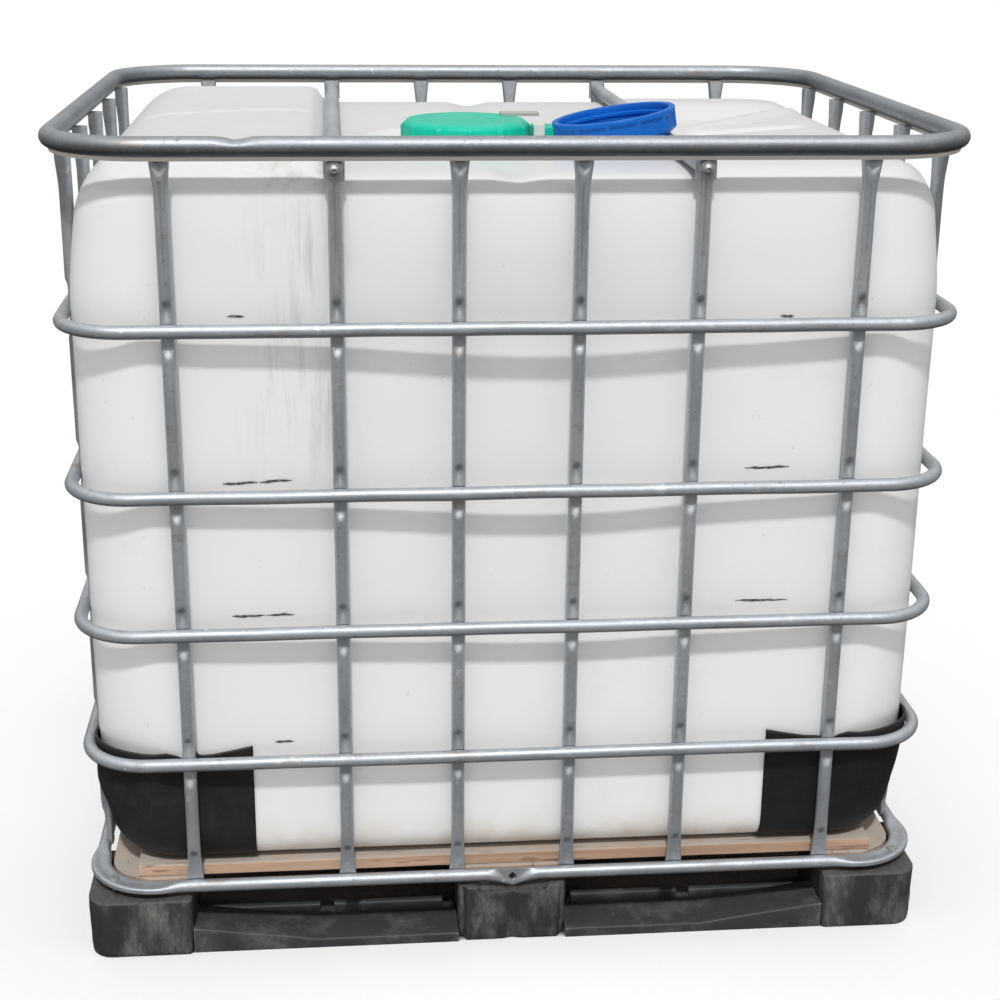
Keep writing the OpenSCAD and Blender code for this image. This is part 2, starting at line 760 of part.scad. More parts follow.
// Cross bars: hollow tubes with end plates bolted behind the uprights' flat ends
module cross_bar(side) {
    color(steel) translate([side * bar_x, 0, bar_z]) difference() {
        union() {
            rotate([90, 0, 0]) cylinder(d = bar_tube, h = 2 * bar_end + 2, center = true);
            for (face = [-1, 1]) translate([0, face * (bar_face - bar_plate_t / 2), 0])
                cube([bar_plate_w, bar_plate_t, bar_plate_h], center = true);
        }
        rotate([90, 0, 0]) cylinder(d = bar_tube - 2 * bar_wall, h = 2 * bar_end, center = true);
        rotate([90, 0, 0]) cylinder(d = bolt_hole, h = outer_d, center = true);
    }
}
// Children stand on each bolt's axis, +Z outwards from the cage's middle plane
module at_bolts() {
    for (side = [-1, 1], face = [-1, 1])
        translate([side * bar_x, 0, bar_z]) rotate([-90 * face, 0, 0]) children();
}
module cross_bar_bolts() {
    head_z = washer_y + washer_t + 0.1;
    head_r = bolt_d + 0.5;
    head_h = 6.5;
    dome_r = (head_r * head_r + head_h * head_h) / (2 * head_h);
    color(steel) at_bolts() difference() {
        union() {
            translate([0, 0, bar_end - nut_t - 4])
                cylinder(d = bolt_d, h = head_z + 1 - bar_end + nut_t + 4);
            translate([0, 0, head_z]) intersection() {
                translate([0, 0, head_h - dome_r]) sphere(r = dome_r);
                cylinder(r = head_r + 1, h = head_h + 1);
            }
        }
        translate([0, 0, head_z + 3]) cylinder(r = 3, h = 5, $fn = 6);
    }
}
module cross_bar_washers() {
    color(steel) at_bolts() translate([0, 0, washer_y]) difference() {
        cylinder(d = washer_d, h = washer_t);
        translate([0, 0, -1]) cylinder(d = bolt_hole, h = washer_t + 2);
    }
}
module cross_bar_nuts() {
    color(steel) at_bolts() translate([0, 0, bar_end - nut_t - 0.1]) difference() {
        cylinder(r = 7.5, h = nut_t, $fn = 6);
        translate([0, 0, -1]) cylinder(d = bolt_d + 0.1, h = nut_t + 2);
    }
}

// Discharge valve, its axis along +X at the height of the outlet
module at_outlet() { translate([0, 0, valve_z]) children(); }
module union_nut() {
    nut_r = outlet_neck / 2 + 8;
    color(black) at_outlet() difference() {
        union() {
            rod_x(nut_r, recess_x + 5, body_x + flange_t + 5);
            for (a = [0:30:330]) rotate([a, 0, 0]) translate([recess_x + 5, -4, nut_r - 2])
                cube([body_x + flange_t - recess_x, 8, 4]);
        }
        rod_x(outlet_neck / 2 + 0.3, recess_x, body_x + flange_t + 0.2);
        rod_x(tube_r + 0.4, recess_x, body_x + flange_t + 10);
    }
}
module valve_gasket() {
    color(rubber) at_outlet()
        ring_x(outlet_bore / 2 + 1, outlet_neck / 2 - 1, gasket_x, gasket_x + gasket_t);
}
module valve_body() {
    color(black) at_outlet() difference() {
        union() {
            rod_x(flange_r, body_x, body_x + flange_t);
            rod_x(tube_r, body_x, thread_x);
            rod_x(barrel_r, stem_x - 22, stem_x + 22);
            rod_x(thread_r, thread_x, body_end);
            translate([stem_x, 0, boss_low - valve_z]) cylinder(r = boss_r, h = boss_top - boss_low);
        }
        rod_x(bore_r, body_x - 1, body_end + 1);
        rod_x(bore_r + seat_t + 0.1, stem_x - seat_half - 0.1, stem_x + seat_half + 0.1);
        translate([stem_x, 0, boss_low - valve_z + 4])
            cylinder(r = stem_d / 2 + stem_gap, h = boss_top - boss_low);
        for (i = [1, 2]) translate([stem_x, 0, boss_top - valve_z - 6 * i])
            cylinder(r = seal_seat_r, h = 2 * ring_r + 0.4);
    }
}
module disc_seat() {
    color(rubber) at_outlet() difference() {
        ring_x(bore_r, bore_r + seat_t, stem_x - seat_half, stem_x + seat_half);
        translate([stem_x, 0, 0]) cylinder(r = stem_d / 2 + 0.4, h = 3 * barrel_r, center = true);
    }
}
module valve_disc() {
    color("DimGray") at_outlet() difference() {
        union() {
            rod_x(disc_r - 0.2, stem_x - 2, stem_x + 2);
            translate([stem_x, 0, 0]) cylinder(r = stem_d / 2 + 3, h = 1.6 * disc_r, center = true);
        }
        translate([stem_x, 0, 0]) cylinder(r = stem_d / 2 + 0.05, h = 4 * disc_r, center = true);
    }
}
module valve_stem() {
    color(steel) translate([stem_x, 0, boss_low + 4.3]) difference() {
        cylinder(d = stem_d, h = hub_z + hub_h - 2 - boss_low - 4.3);
        translate([0, 0, hub_z + hub_h - boss_low - 24]) cylinder(d = 5, h = 30);
    }
}
module stem_seals() {
    color(rubber) for (i = [1, 2]) translate([stem_x, 0, boss_top - 6 * i + ring_r + 0.2])
        rotate_extrude() translate([stem_d / 2 + ring_r + 0.12, 0]) circle(ring_r);
}
module valve_handle() {
    color([0.75, 0.1, 0.1]) difference() {
        union() {
            translate([stem_x, 0, hub_z]) cylinder(r = hub_r, h = hub_h);
            translate([stem_x, 0, lever_z]) linear_extrude(height = lever_t)
                polygon([[-13, 0], [13, 0], [9, 14 - lever_len], [-9, 14 - lever_len]]);
            translate([stem_x, 14 - lever_len, lever_z]) cylinder(r = 14, h = lever_t);
        }
        translate([stem_x, 0, hub_z - 1]) cylinder(d = stem_d + 0.1, h = hub_h - 1);
        translate([stem_x, 0, hub_z]) cylinder(d = 5.4, h = hub_h + 1);
        translate([stem_x, 14 - lever_len, lever_z - 1]) cylinder(r = 6, h = lever_t + 2);
    }
}
module handle_screw() {
    top = hub_z + hub_h;
    color(steel) translate([stem_x, 0, top]) difference() {
        union() {
            translate([0, 0, -18]) cylinder(d = 4.9, h = 18.5);
            translate([0, 0, 0.1]) cylinder(d = 11, h = 3.5);
        }
        translate([0, 0, 2]) cylinder(r = 2.6, h = 5, $fn = 6);
    }
}
module outlet_cap() {
    color(black) at_outlet() difference() {
        union() {
            rod_x(cap2_r, cap2_x, cap2_face + 4);
            for (a = [0:30:330]) rotate([a, 0, 0]) translate([cap2_x, -2.5, cap2_r - 1])
                cube([cap2_face + 2 - cap2_x, 5, 3]);
        }
        rod_x(cap2_in, cap2_x - 1, cap2_face);
    }
}
module outlet_cap_gasket() {
    color(rubber) at_outlet()
        ring_x(outlet_bore / 2, thread_r - 0.2, body_end + 0.2, body_end + gasket_t);
}

place_foot(-1, -1);  // foot_front_left
place_foot(0, -1);  // foot_front_centre
place_foot(1, -1);  // foot_front_right
place_foot(-1, 0);  // foot_middle_left
place_foot(0, 0);  // foot_middle_centre
place_foot(1, 0);  // foot_middle_right
place_foot(-1, 1);  // foot_rear_left
place_foot(0, 1);  // foot_rear_centre
place_foot(1, 1);  // foot_rear_right
runner(-1);  // runner_front
runner(0);  // runner_middle
runner(1);  // runner_rear
stringer(-1);  // stringer_left
stringer(0);  // stringer_centre
stringer(1);  // stringer_right
deck_board(0);  // deck_board_1
deck_board(1);  // deck_board_2
deck_board(2);  // deck_board_3
deck_board(3);  // deck_board_4
deck_board(4);  // deck_board_5
deck_screws();
bottom_rail();
rail_screws();
front_uprights();
rear_uprights();
left_uprights();
right_uprights();
hoop(0);  // hoop_1
hoop(1);  // hoop_2
hoop(2);  // hoop_3
hoop(3);  // hoop_4
top_rail();
cross_bar(-1);  // cross_bar_left
cross_bar(1);  // cross_bar_right
cross_bar_bolts();
cross_bar_washers();
cross_bar_nuts();
guard(-1, -1);  // guard_front_left
guard(1, -1);  // guard_front_right
guard(-1, 1);  // guard_rear_left
guard(1, 1);  // guard_rear_right
bottle();
fill_cap();
fill_cap_gasket();
seal_clip();
seal_band();
seal_tag();
spare_cap();
union_nut();
valve_gasket();
valve_body();
disc_seat();
valve_disc();
valve_stem();
stem_seals();
valve_handle();
handle_screw();
outlet_cap();
outlet_cap_gasket();
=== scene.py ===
import bpy
import bmesh
import json
import math
import numpy as np
from mathutils import Matrix, Vector


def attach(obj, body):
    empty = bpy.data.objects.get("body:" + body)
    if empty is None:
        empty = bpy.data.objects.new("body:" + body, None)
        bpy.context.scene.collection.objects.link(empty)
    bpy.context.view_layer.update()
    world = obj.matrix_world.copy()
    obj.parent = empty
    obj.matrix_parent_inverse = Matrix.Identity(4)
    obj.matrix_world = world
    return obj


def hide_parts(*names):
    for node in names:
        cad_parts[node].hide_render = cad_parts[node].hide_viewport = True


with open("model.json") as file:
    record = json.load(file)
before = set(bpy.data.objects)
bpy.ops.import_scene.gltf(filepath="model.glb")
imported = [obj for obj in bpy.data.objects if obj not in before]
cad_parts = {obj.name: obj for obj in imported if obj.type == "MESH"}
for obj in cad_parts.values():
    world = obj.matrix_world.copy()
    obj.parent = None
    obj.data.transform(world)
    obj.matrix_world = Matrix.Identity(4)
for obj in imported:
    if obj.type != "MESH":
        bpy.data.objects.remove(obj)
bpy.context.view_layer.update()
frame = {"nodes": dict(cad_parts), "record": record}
cadNodes = frame["nodes"]
mm = 0.001  # sizes below are in millimetres, meshes in metres
weldGap, slimGap = 2e-6, 1e-7  # metres: points this close are one, faces this slim are dropped
print("frame loaded,", len(cadNodes), "nodes")


def quadsOf(rows, cols, roundRows, roundCols, start):
    # four-cornered faces between neighbouring grid points, closing round where asked
    i, j = np.meshgrid(np.arange(rows - (not roundRows)), np.arange(cols - (not roundCols)), indexing="ij")
    nextI, nextJ = (i + 1) % rows, (j + 1) % cols
    quads = np.stack([i * cols + j, nextI * cols + j, nextI * cols + nextJ, i * cols + nextJ], -1)
    return quads.reshape(-1, 4) + start


def surface(at, roundRows=False, roundCols=False, caps=(), drop=None):
    # one grid of points, how it closes, which end rows are capped and which cells are left open
    return {"at": at, "roundRows": roundRows, "roundCols": roundCols, "caps": caps, "drop": drop}


def makePiece(name, surfaces, finish, body="container", stands=(), crease=40, shell=0):
    # grids joined to one mesh, doubles merged, faces turned outwards, riding on its body
    points, faces, start = [], [], 0
    for part in surfaces:
        rows, cols = part["at"].shape[:2]
        quads = quadsOf(rows, cols, part["roundRows"], part["roundCols"], start)
        if part["drop"] is not None:
            quads = quads[~part["drop"].reshape(-1)]
        faces += quads.tolist()
        faces += [(start + row % rows * cols + np.arange(cols)).tolist() for row in part["caps"]]
        points.append(part["at"].reshape(-1, 3) * mm)
        start += rows * cols
    mesh = bpy.data.meshes.new(name)
    mesh.from_pydata(np.concatenate(points).tolist(), [], faces)
    work = bmesh.new()
    work.from_mesh(mesh)
    bmesh.ops.remove_doubles(work, verts=work.verts, dist=weldGap)
    bmesh.ops.dissolve_degenerate(work, edges=work.edges, dist=slimGap)
    bmesh.ops.delete(work, geom=[v for v in work.verts if not v.link_faces], context="VERTS")
    bmesh.ops.recalc_face_normals(work, faces=work.faces)
    work.to_mesh(mesh)
    work.free()
    mesh.polygons.foreach_set("use_smooth", np.ones(len(mesh.polygons), bool))
    mesh.set_sharp_from_angle(angle=math.radians(crease))
    mesh.materials.append(finish)
    piece = bpy.data.objects.new(name, mesh)
    bpy.context.scene.collection.objects.link(piece)
    if shell:
        wall = piece.modifiers.new("wall", "SOLIDIFY")
        wall.thickness = abs(shell) * mm
        wall.offset = 1 if shell > 0 else -1
    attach(piece, body)
    if stands:
        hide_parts(*stands)
    return piece


def ramp(value):
    # smooth step: 0 below 0, 1 above 1, with level ends
    t = np.clip(value, 0, 1)
    return t * t * (3 - 2 * t)


def bell(value):
    # bell curve: 1 at 0, next to nothing beyond 2
    return np.exp(-value * value)


def softMin(a, b, blend):
    # the smaller of two, with the kink between them rounded over
    return 0.5 * (a + b - np.sqrt((a - b) ** 2 + blend ** 2))


def softMax(a, b, blend):
    # the larger of two, rounded over likewise
    return 0.5 * (a + b + np.sqrt((a - b) ** 2 + blend ** 2))


def ripple(at, length, seed, count=8):
    # sum of sine waves in fixed random directions, about -1 to 1
    draw = np.random.default_rng(seed)
    waves = draw.normal(size=(count, 3)) * 2 * np.pi / length
    return np.sin(at @ waves.T + draw.uniform(0, 2 * np.pi, count)).sum(-1) * 2 / count


def stack(x, y, z):
    # coordinates of matching shapes made one array of points
    return np.stack(np.broadcast_arrays(x, y, z), -1).astype(float)


def newFinish(name, **sockets):
    finish = bpy.data.materials.new(name)
    finish.use_nodes = True
    tree = finish.node_tree
    tree.nodes.clear()
    shader = tree.nodes.new("ShaderNodeBsdfPrincipled")
    tree.links.new(shader.outputs[0], tree.nodes.new("ShaderNodeOutputMaterial").inputs[0])
    for socket, value in sockets.items():
        shader.inputs[socket.replace("_", " ")].default_value = value
    return finish, tree, shader


def put(tree, kind, sockets=None, **settings):
    # a node with its sockets set or linked
    node = tree.nodes.new("ShaderNode" + kind)
    for key, value in settings.items():
        setattr(node, key, value)
    for key, value in (sockets or {}).items():
        if isinstance(value, bpy.types.NodeSocket):
            tree.links.new(value, node.inputs[key])
        else:
            node.inputs[key].default_value = value
    return node


def spot(tree, stretch=(1, 1, 1), shift=(0, 0, 0)):
    # object coordinates, stretched and moved
    place = put(tree, "TexCoord").outputs["Object"]
    return put(tree, "Mapping", {"Vector": place, "Scale": stretch, "Location": shift}).outputs[0]


def noise(tree, where, scale, detail=4, rough=0.55):
    sockets = {"Vector": where, "Scale": scale, "Detail": detail, "Roughness": rough}
    return put(tree, "TexNoise", sockets).outputs[0]


def between(tree, value, low, high, toLow=0, toHigh=1):
    # eases from toLow to toHigh while the value goes from low to high
    sockets = {"Value": value, "From Min": low, "From Max": high, "To Min": toLow, "To Max": toHigh}
    return put(tree, "MapRange", sockets, interpolation_type="SMOOTHSTEP").outputs[0]


def maths(tree, kind, a, b):
    return put(tree, "Math", {0: a, 1: b}, operation=kind).outputs[0]


def times(tree, a, b):
    return maths(tree, "MULTIPLY", a, b)


def tint(tree, amount, a, b):
    # colour a going over to colour b
    node = put(tree, "Mix", {0: amount}, data_type="RGBA")
    for index, value in ((6, a), (7, b)):
        if isinstance(value, bpy.types.NodeSocket):
            tree.links.new(value, node.inputs[index])
        else:
            node.inputs[index].default_value = (*value, 1)
    return node.outputs[2]


def bumpy(tree, shader, height, depth, strength):
    # fine relief, depth in metres
    node = put(tree, "Bump", {"Height": height, "Distance": depth, "Strength": strength})
    tree.links.new(node.outputs[0], shader.inputs["Normal"])


def facing(tree, axis):
    # how far the surface looks along an axis, -1 to 1
    return put(tree, "SeparateXYZ", {0: put(tree, "NewGeometry").outputs["Normal"]}).outputs[axis]


def placeOn(tree, axis):
    # metres along an axis
    return put(tree, "SeparateXYZ", {0: put(tree, "TexCoord").outputs["Object"]}).outputs[axis]


# the darkest tint in the steel looks is painted shade, laid on faces that look down
steelLook = {"dark": (0.33, 0.355, 0.38), "pale": (0.52, 0.55, 0.58), "worn": (0.8, 0.81, 0.8),
             "soil": (0.24, 0.19, 0.15), "stain": (0.3, 0.22, 0.18), "pit": (0.12, 0.11, 0.1),
             "grimeAndShade": (0.045, 0.05, 0.06), "metal": 0.68, "rough": (0.42, 0.58), "lip": None,
             "lipFrom": 1.1049, "lipTo": 1.1038}


def steelFinish(name, look, soilTop):
    # zinc coat: crystal cells, cloudy tarnish, rubbed spots, pits, soil low down, and painted shade on faces that look
    # down
    finish, tree, shader = newFinish(name, Metallic=look["metal"])
    where = spot(tree)
    cells = put(tree, "TexVoronoi", {"Vector": where, "Scale": 160}).outputs["Color"]
    grain = put(tree, "SeparateColor", {0: cells}).outputs[0]
    cloud = noise(tree, where, 9, 5)
    mottle = maths(tree, "ADD", times(tree, cloud, 0.8), times(tree, grain, 0.22))
    coat = tint(tree, mottle, look["dark"], look["pale"])
    rubbed = between(tree, noise(tree, where, 46, 6, 0.7), 0.6, 0.72)
    coat = tint(tree, times(tree, rubbed, 0.75), coat, look["worn"])
    pits = between(tree, noise(tree, where, 150, 4, 0.65), 0.62, 0.72)
    coat = tint(tree, times(tree, pits, 0.6), coat, look["pit"])
    stain = between(tree, noise(tree, spot(tree, (7, 7, 18), (3, 1, 2)), 2.2, 6, 0.7), 0.56, 0.7, 0, 0.5)
    coat = tint(tree, stain, coat, look["stain"])
    low = between(tree, placeOn(tree, 2), soilTop, 0.02)
    soil = times(tree, low, between(tree, noise(tree, where, 30, 6, 0.65), 0.42, 0.66))
    coat = tint(tree, times(tree, soil, 0.8), coat, look["soil"])
    under = between(tree, facing(tree, 2), -0.15, -0.6, 0, 0.6)  # painted shade: faces that look down are tinted towards a near-black colour, as if in shadow
    coat = tint(tree, under, coat, look["grimeAndShade"])
    if look["lip"]:  # painted highlight: the rail's lower edge is made pale and less metallic, standing for light thrown up from the ground
        below = between(tree, placeOn(tree, 2), look["lipFrom"], look["lipTo"])
        coat = tint(tree, below, coat, look["lip"])
        tree.links.new(between(tree, below, 0, 1, look["metal"], 0.1), shader.inputs["Metallic"])
    tree.links.new(coat, shader.inputs["Base Color"])
    tree.links.new(between(tree, cloud, 0.25, 0.75, *look["rough"]), shader.inputs["Roughness"])
    bumpy(tree, shader, noise(tree, where, 330, 5, 0.7), 0.0006, 0.5)
    return finish


bottleLook = {"clean": (0.79, 0.79, 0.78), "grimeAndShade": (0.5, 0.49, 0.46), "dust": (0.62, 0.52, 0.42)}


def bottleFinish(look):
    # milky polyethylene: runs of grime down the front left, dust low down, scattered specks
    finish, tree, shader = newFinish("milky_polyethylene", Subsurface_Weight=0.12, Subsurface_Scale=0.02)
    shader.inputs["Subsurface Radius"].default_value = (1, 0.95, 0.9)
    where = spot(tree)
    runs = between(tree, noise(tree, spot(tree, (26, 26, 2.4)), 1.6, 6, 0.7), 0.46, 0.72)
    sideways, upper = placeOn(tree, 0), between(tree, placeOn(tree, 2), 0.62, 0.8)
    across = times(tree, between(tree, sideways, -0.40, -0.27), between(tree, sideways, -0.17, -0.25))
    tall = times(tree, upper, between(tree, facing(tree, 1), 0.1, -0.5))
    runs = times(tree, runs, times(tree, across, tall))
    blotch = between(tree, noise(tree, where, 5, 6, 0.65), 0.55, 0.8)
    specks = between(tree, noise(tree, where, 120, 2), 0.74, 0.78)
    grimeAndShade = maths(tree, "MAXIMUM", times(tree, runs, 0.75), times(tree, blotch, 0.22))
    grimeAndShade = maths(tree, "MAXIMUM", grimeAndShade, times(tree, specks, 0.5))
    skin = tint(tree, grimeAndShade, look["clean"], look["grimeAndShade"])
    low = between(tree, placeOn(tree, 2), 0.2, 0.125)
    dust = times(tree, low, between(tree, noise(tree, where, 22, 5), 0.3, 0.7, 0.2, 0.9))
    tree.links.new(tint(tree, dust, skin, look["dust"]), shader.inputs["Base Color"])
    tree.links.new(between(tree, blotch, 0, 1, 0.36, 0.56), shader.inputs["Roughness"])
    bumpy(tree, shader, noise(tree, where, 18, 4), 0.002, 0.35)
    return finish


def soiledFinish(name, base, dust, scale, amount, rough, upDust, edgeHighlightAndWear=0, stretch=(1, 1, 1)):
    # moulded plastic: patches of dry soil, more of it on faces that look up, fine scratches, and paler convex edges
    # that are partly scuffs and partly a painted edge highlight
    finish, tree, shader = newFinish(name)
    where = spot(tree, stretch)
    patch = between(tree, noise(tree, where, scale, 8, 0.68), 0.44, 0.7, 0, amount)
    settled = times(tree, between(tree, facing(tree, 2), 0.35, 0.95), upDust)
    fine = between(tree, noise(tree, where, scale * 9, 5, 0.7), 0.35, 0.7, 0.45, 1)
    patch = times(tree, maths(tree, "MAXIMUM", patch, settled), fine)
    scratch = between(tree, noise(tree, spot(tree, (3, 3, 60)), 9, 3, 0.6), 0.66, 0.72, 0, 0.25)
    patch = maths(tree, "MAXIMUM", patch, scratch)
    body = tint(tree, patch, base, dust)
    # paler convex edges: scuffs, with a painted edge highlight on top
    if edgeHighlightAndWear:
        edges = between(tree, put(tree, "NewGeometry").outputs["Pointiness"], 0.53, 0.62, 0, edgeHighlightAndWear)
        body = tint(tree, times(tree, edges, fine), body, (0.36, 0.35, 0.33))
    tree.links.new(body, shader.inputs["Base Color"])
    tree.links.new(between(tree, patch, 0, 0.6, rough, 0.9), shader.inputs["Roughness"])
    bumpy(tree, shader, noise(tree, where, 95, 8, 0.7), 0.0012, 0.6)
    return finish


def timberFinish(name, grainAxis):
    # sawn softwood: long grain bands with darker lines, grey and dusty where it looks up
    finish, tree, shader = newFinish(name)
    stretch = [46, 46, 46]
    stretch[grainAxis] = 1.6
    along = spot(tree, stretch)
    band = noise(tree, along, 1.0, 6, 0.65)
    wood = tint(tree, between(tree, band, 0.3, 0.7), (0.4, 0.255, 0.17), (0.62, 0.425, 0.3))
    stretch[grainAxis] = 5
    line = between(tree, noise(tree, spot(tree, [s * 3 for s in stretch]), 1.0, 3), 0.62, 0.7)
    wood = tint(tree, times(tree, line, 0.55), wood, (0.22, 0.135, 0.09))
    patchy = between(tree, noise(tree, spot(tree), 24, 5), 0.25, 0.6, 0.5, 0.95)
    worn = times(tree, between(tree, facing(tree, 2), 0.3, 0.9), patchy)
    wood = tint(tree, worn, wood, (0.42, 0.38, 0.34))
    tree.links.new(wood, shader.inputs["Base Color"])
    tree.links.new(between(tree, band, 0.3, 0.7, 0.88, 0.7), shader.inputs["Roughness"])
    bumpy(tree, shader, maths(tree, "ADD", band, line), 0.0016, 0.8)
    return finish


def colouredFinish(name, base, shade, dust, dustAmount, rough=0.4, shine=0.5):
    # through-coloured moulding: slight mottle, pale scuffs, dust that lies on top
    finish, tree, shader = newFinish(name, Specular_IOR_Level=shine)
    where = spot(tree)
    body = tint(tree, noise(tree, where, 14, 4), shade, base)
    patchy = between(tree, noise(tree, where, 26, 6, 0.65), 0.38, 0.7, 0.1, 1)
    lying = times(tree, between(tree, facing(tree, 2), 0.5, 1.0), patchy)
    body = tint(tree, times(tree, lying, dustAmount), body, dust)
    scuff = between(tree, noise(tree, where, 75, 6, 0.7), 0.66, 0.78, 0, 0.3)
    tree.links.new(tint(tree, scuff, body, dust), shader.inputs["Base Color"])
    gloss = between(tree, noise(tree, where, 40), 0.3, 0.7, rough - 0.06, rough + 0.16)
    tree.links.new(gloss, shader.inputs["Roughness"])
    bumpy(tree, shader, noise(tree, where, 150, 6, 0.65), 0.0005, 0.5)
    return finish


# the rail look's lip colour is a painted highlight for light from the ground below
railLook = dict(steelLook, dark=(0.22, 0.235, 0.25), pale=(0.38, 0.4, 0.42), worn=(0.6, 0.61, 0.61),
                metal=0.92, rough=(0.46, 0.58), lip=(0.42, 0.4, 0.37))
boltLook = dict(steelLook, dark=(0.36, 0.36, 0.35), pale=(0.62, 0.61, 0.58), metal=0.85)
steel = steelFinish("worn_zinc_steel", steelLook, soilTop=0.13)
railSteel = steelFinish("rail_zinc_steel", railLook, soilTop=0.13)
zinc = steelFinish("bolt_zinc", boltLook, soilTop=0.11)
milky = bottleFinish(bottleLook)
footBlack = soiledFinish("soiled_black_plastic", (0.026, 0.026, 0.027), (0.22, 0.21, 0.195), scale=12,
                         amount=0.75, rough=0.6, upDust=0.4, edgeHighlightAndWear=0.5, stretch=(1.7, 1.7, 0.6))
treadBlack = soiledFinish("tread_black_plastic", (0.032, 0.033, 0.036), (0.17, 0.16, 0.15), scale=14,
                          amount=0.6, rough=0.6, upDust=0.12, edgeHighlightAndWear=0.9)
guardBlack = soiledFinish("guard_black_plastic", (0.007, 0.007, 0.008), (0.055, 0.05, 0.045), scale=7,
                          amount=0.26, rough=0.58, upDust=0.4)
valveBlack = soiledFinish("valve_black_plastic", (0.018, 0.018, 0.019), (0.1, 0.09, 0.08), scale=14,
                          amount=0.25, rough=0.42, upDust=0.35)
rubber = soiledFinish("soft_rubber", (0.03, 0.03, 0.031), (0.09, 0.085, 0.08), scale=30,
                      amount=0.3, rough=0.7, upDust=0.2)
boardWood = timberFinish("board_timber", grainAxis=0)
beamWood = timberFinish("beam_timber", grainAxis=1)
capGreen = colouredFinish("cap_green", (0.003, 0.61, 0.41), (0.002, 0.51, 0.34), (0.2, 0.44, 0.37),
                          dustAmount=0.3, shine=0.28)
capBlue = colouredFinish("cap_blue", (0.003, 0.15, 0.6), (0.002, 0.12, 0.5), (0.04, 0.24, 0.56),
                         dustAmount=0.1, shine=0.25)
leverRed = colouredFinish("lever_red", (0.55, 0.025, 0.02), (0.42, 0.015, 0.012), (0.5, 0.3, 0.25), dustAmount=0.3)
tagGrey = colouredFinish("tag_grey", (0.5, 0.49, 0.45), (0.4, 0.39, 0.36), (0.6, 0.57, 0.5),
                         dustAmount=0.5, rough=0.35)
strapWhite = colouredFinish("strap_white", (0.8, 0.8, 0.78), (0.7, 0.7, 0.68), (0.6, 0.58, 0.54),
                            dustAmount=0.4, rough=0.5)
discGrey = colouredFinish("disc_grey", (0.2, 0.2, 0.2), (0.15, 0.15, 0.15), (0.3, 0.3, 0.3), dustAmount=0.2)
# a near-black sheet set in the base ring's square hole as painted shade
holeShade = soiledFinish("hole_painted_shade", (0.004, 0.004, 0.004), (0.012, 0.011, 0.01), scale=200,
                         amount=0.5, rough=0.9, upDust=0)
inkBlack = soiledFinish("marker_black", (0.03, 0.03, 0.035), (0.5, 0.5, 0.5), scale=300,
                        amount=0.9, rough=0.6, upDust=0)
slotFinish = {"galvanised_steel": steel, "zinc_steel": zinc, "black_plastic": footBlack, "timber": boardWood,
              "white_polyethylene": milky, "rubber": rubber, "green_plastic": capGreen, "white_strap": strapWhite,
              "grey_plastic": tagGrey, "blue_plastic": capBlue, "red_plastic": leverRed}
print("finishes ready:", len(bpy.data.materials))


def ringPath(size, step, bend, frontMarks=()):
    # middle line of a bent tube, a rectangle with round corners, from the front left going right: points and
    # outward normals
    tube = size["tube"]
    width, depth, corner = size["width"] - 2 * tube, size["depth"] - 2 * tube, size["corner"] - tube
    points, normals = [], []
    for k in range(4):
        half, far = ((width, depth), (depth, width))[k % 2]
        run = half / 2 - corner
        t = np.linspace(-run, run, max(4, int(2 * run / step)), endpoint=False)
        t = np.unique(np.concatenate([t, frontMarks])) if k == 0 else t
        a = np.radians(np.linspace(0, 90, bend, endpoint=False))
        local = np.concatenate([np.stack([t, np.full_like(t, -far / 2)], 1),
                                np.stack([run + corner * np.sin(a), corner - far / 2 - corner * np.cos(a)], 1)])
        out = np.concatenate([np.stack([0 * t, 0 * t - 1], 1), np.stack([np.sin(a), -np.cos(a)], 1)])
        c, s = np.cos(k * np.pi / 2), np.sin(k * np.pi / 2)
        turn = np.array([[c, s], [-s, c]])
        points.append(local @ turn)
        normals.append(out @ turn)
    return np.concatenate(points), np.concatenate(normals)


def sweepRing(points, normals, z, out, up):
    # a profile, out along the normal and up, carried round a closed path
    x = points[:, :1] + normals[:, :1] * out
    y = points[:, 1:] + normals[:, 1:] * out
    return surface(stack(x, y, z + up), True, True)


def outline(width, depth, radii, inset=0, arc=6, cells=6):
    # rectangle with a radius of its own at each corner, drawn in by inset; cells along each side
    corners = ((1, -1, -90), (1, 1, 0), (-1, 1, 90), (-1, -1, 180))
    arcs = []
    for (sx, sy, start), radius in zip(corners, radii):
        r = max(radius - inset, 0.6)  # never quite sharp
        a = np.radians(start + np.linspace(0, 90, arc + 1))
        midX, midY = sx * (width / 2 - inset - r), sy * (depth / 2 - inset - r)
        arcs.append(np.stack([midX + r * np.cos(a), midY + r * np.sin(a)], 1))
    t = np.linspace(0, 1, cells + 1)[1:-1, None]
    parts = []
    for k in range(4):
        parts += [arcs[k], arcs[k][-1] * (1 - t) + arcs[(k + 1) % 4][0] * t]
    return np.concatenate(parts)


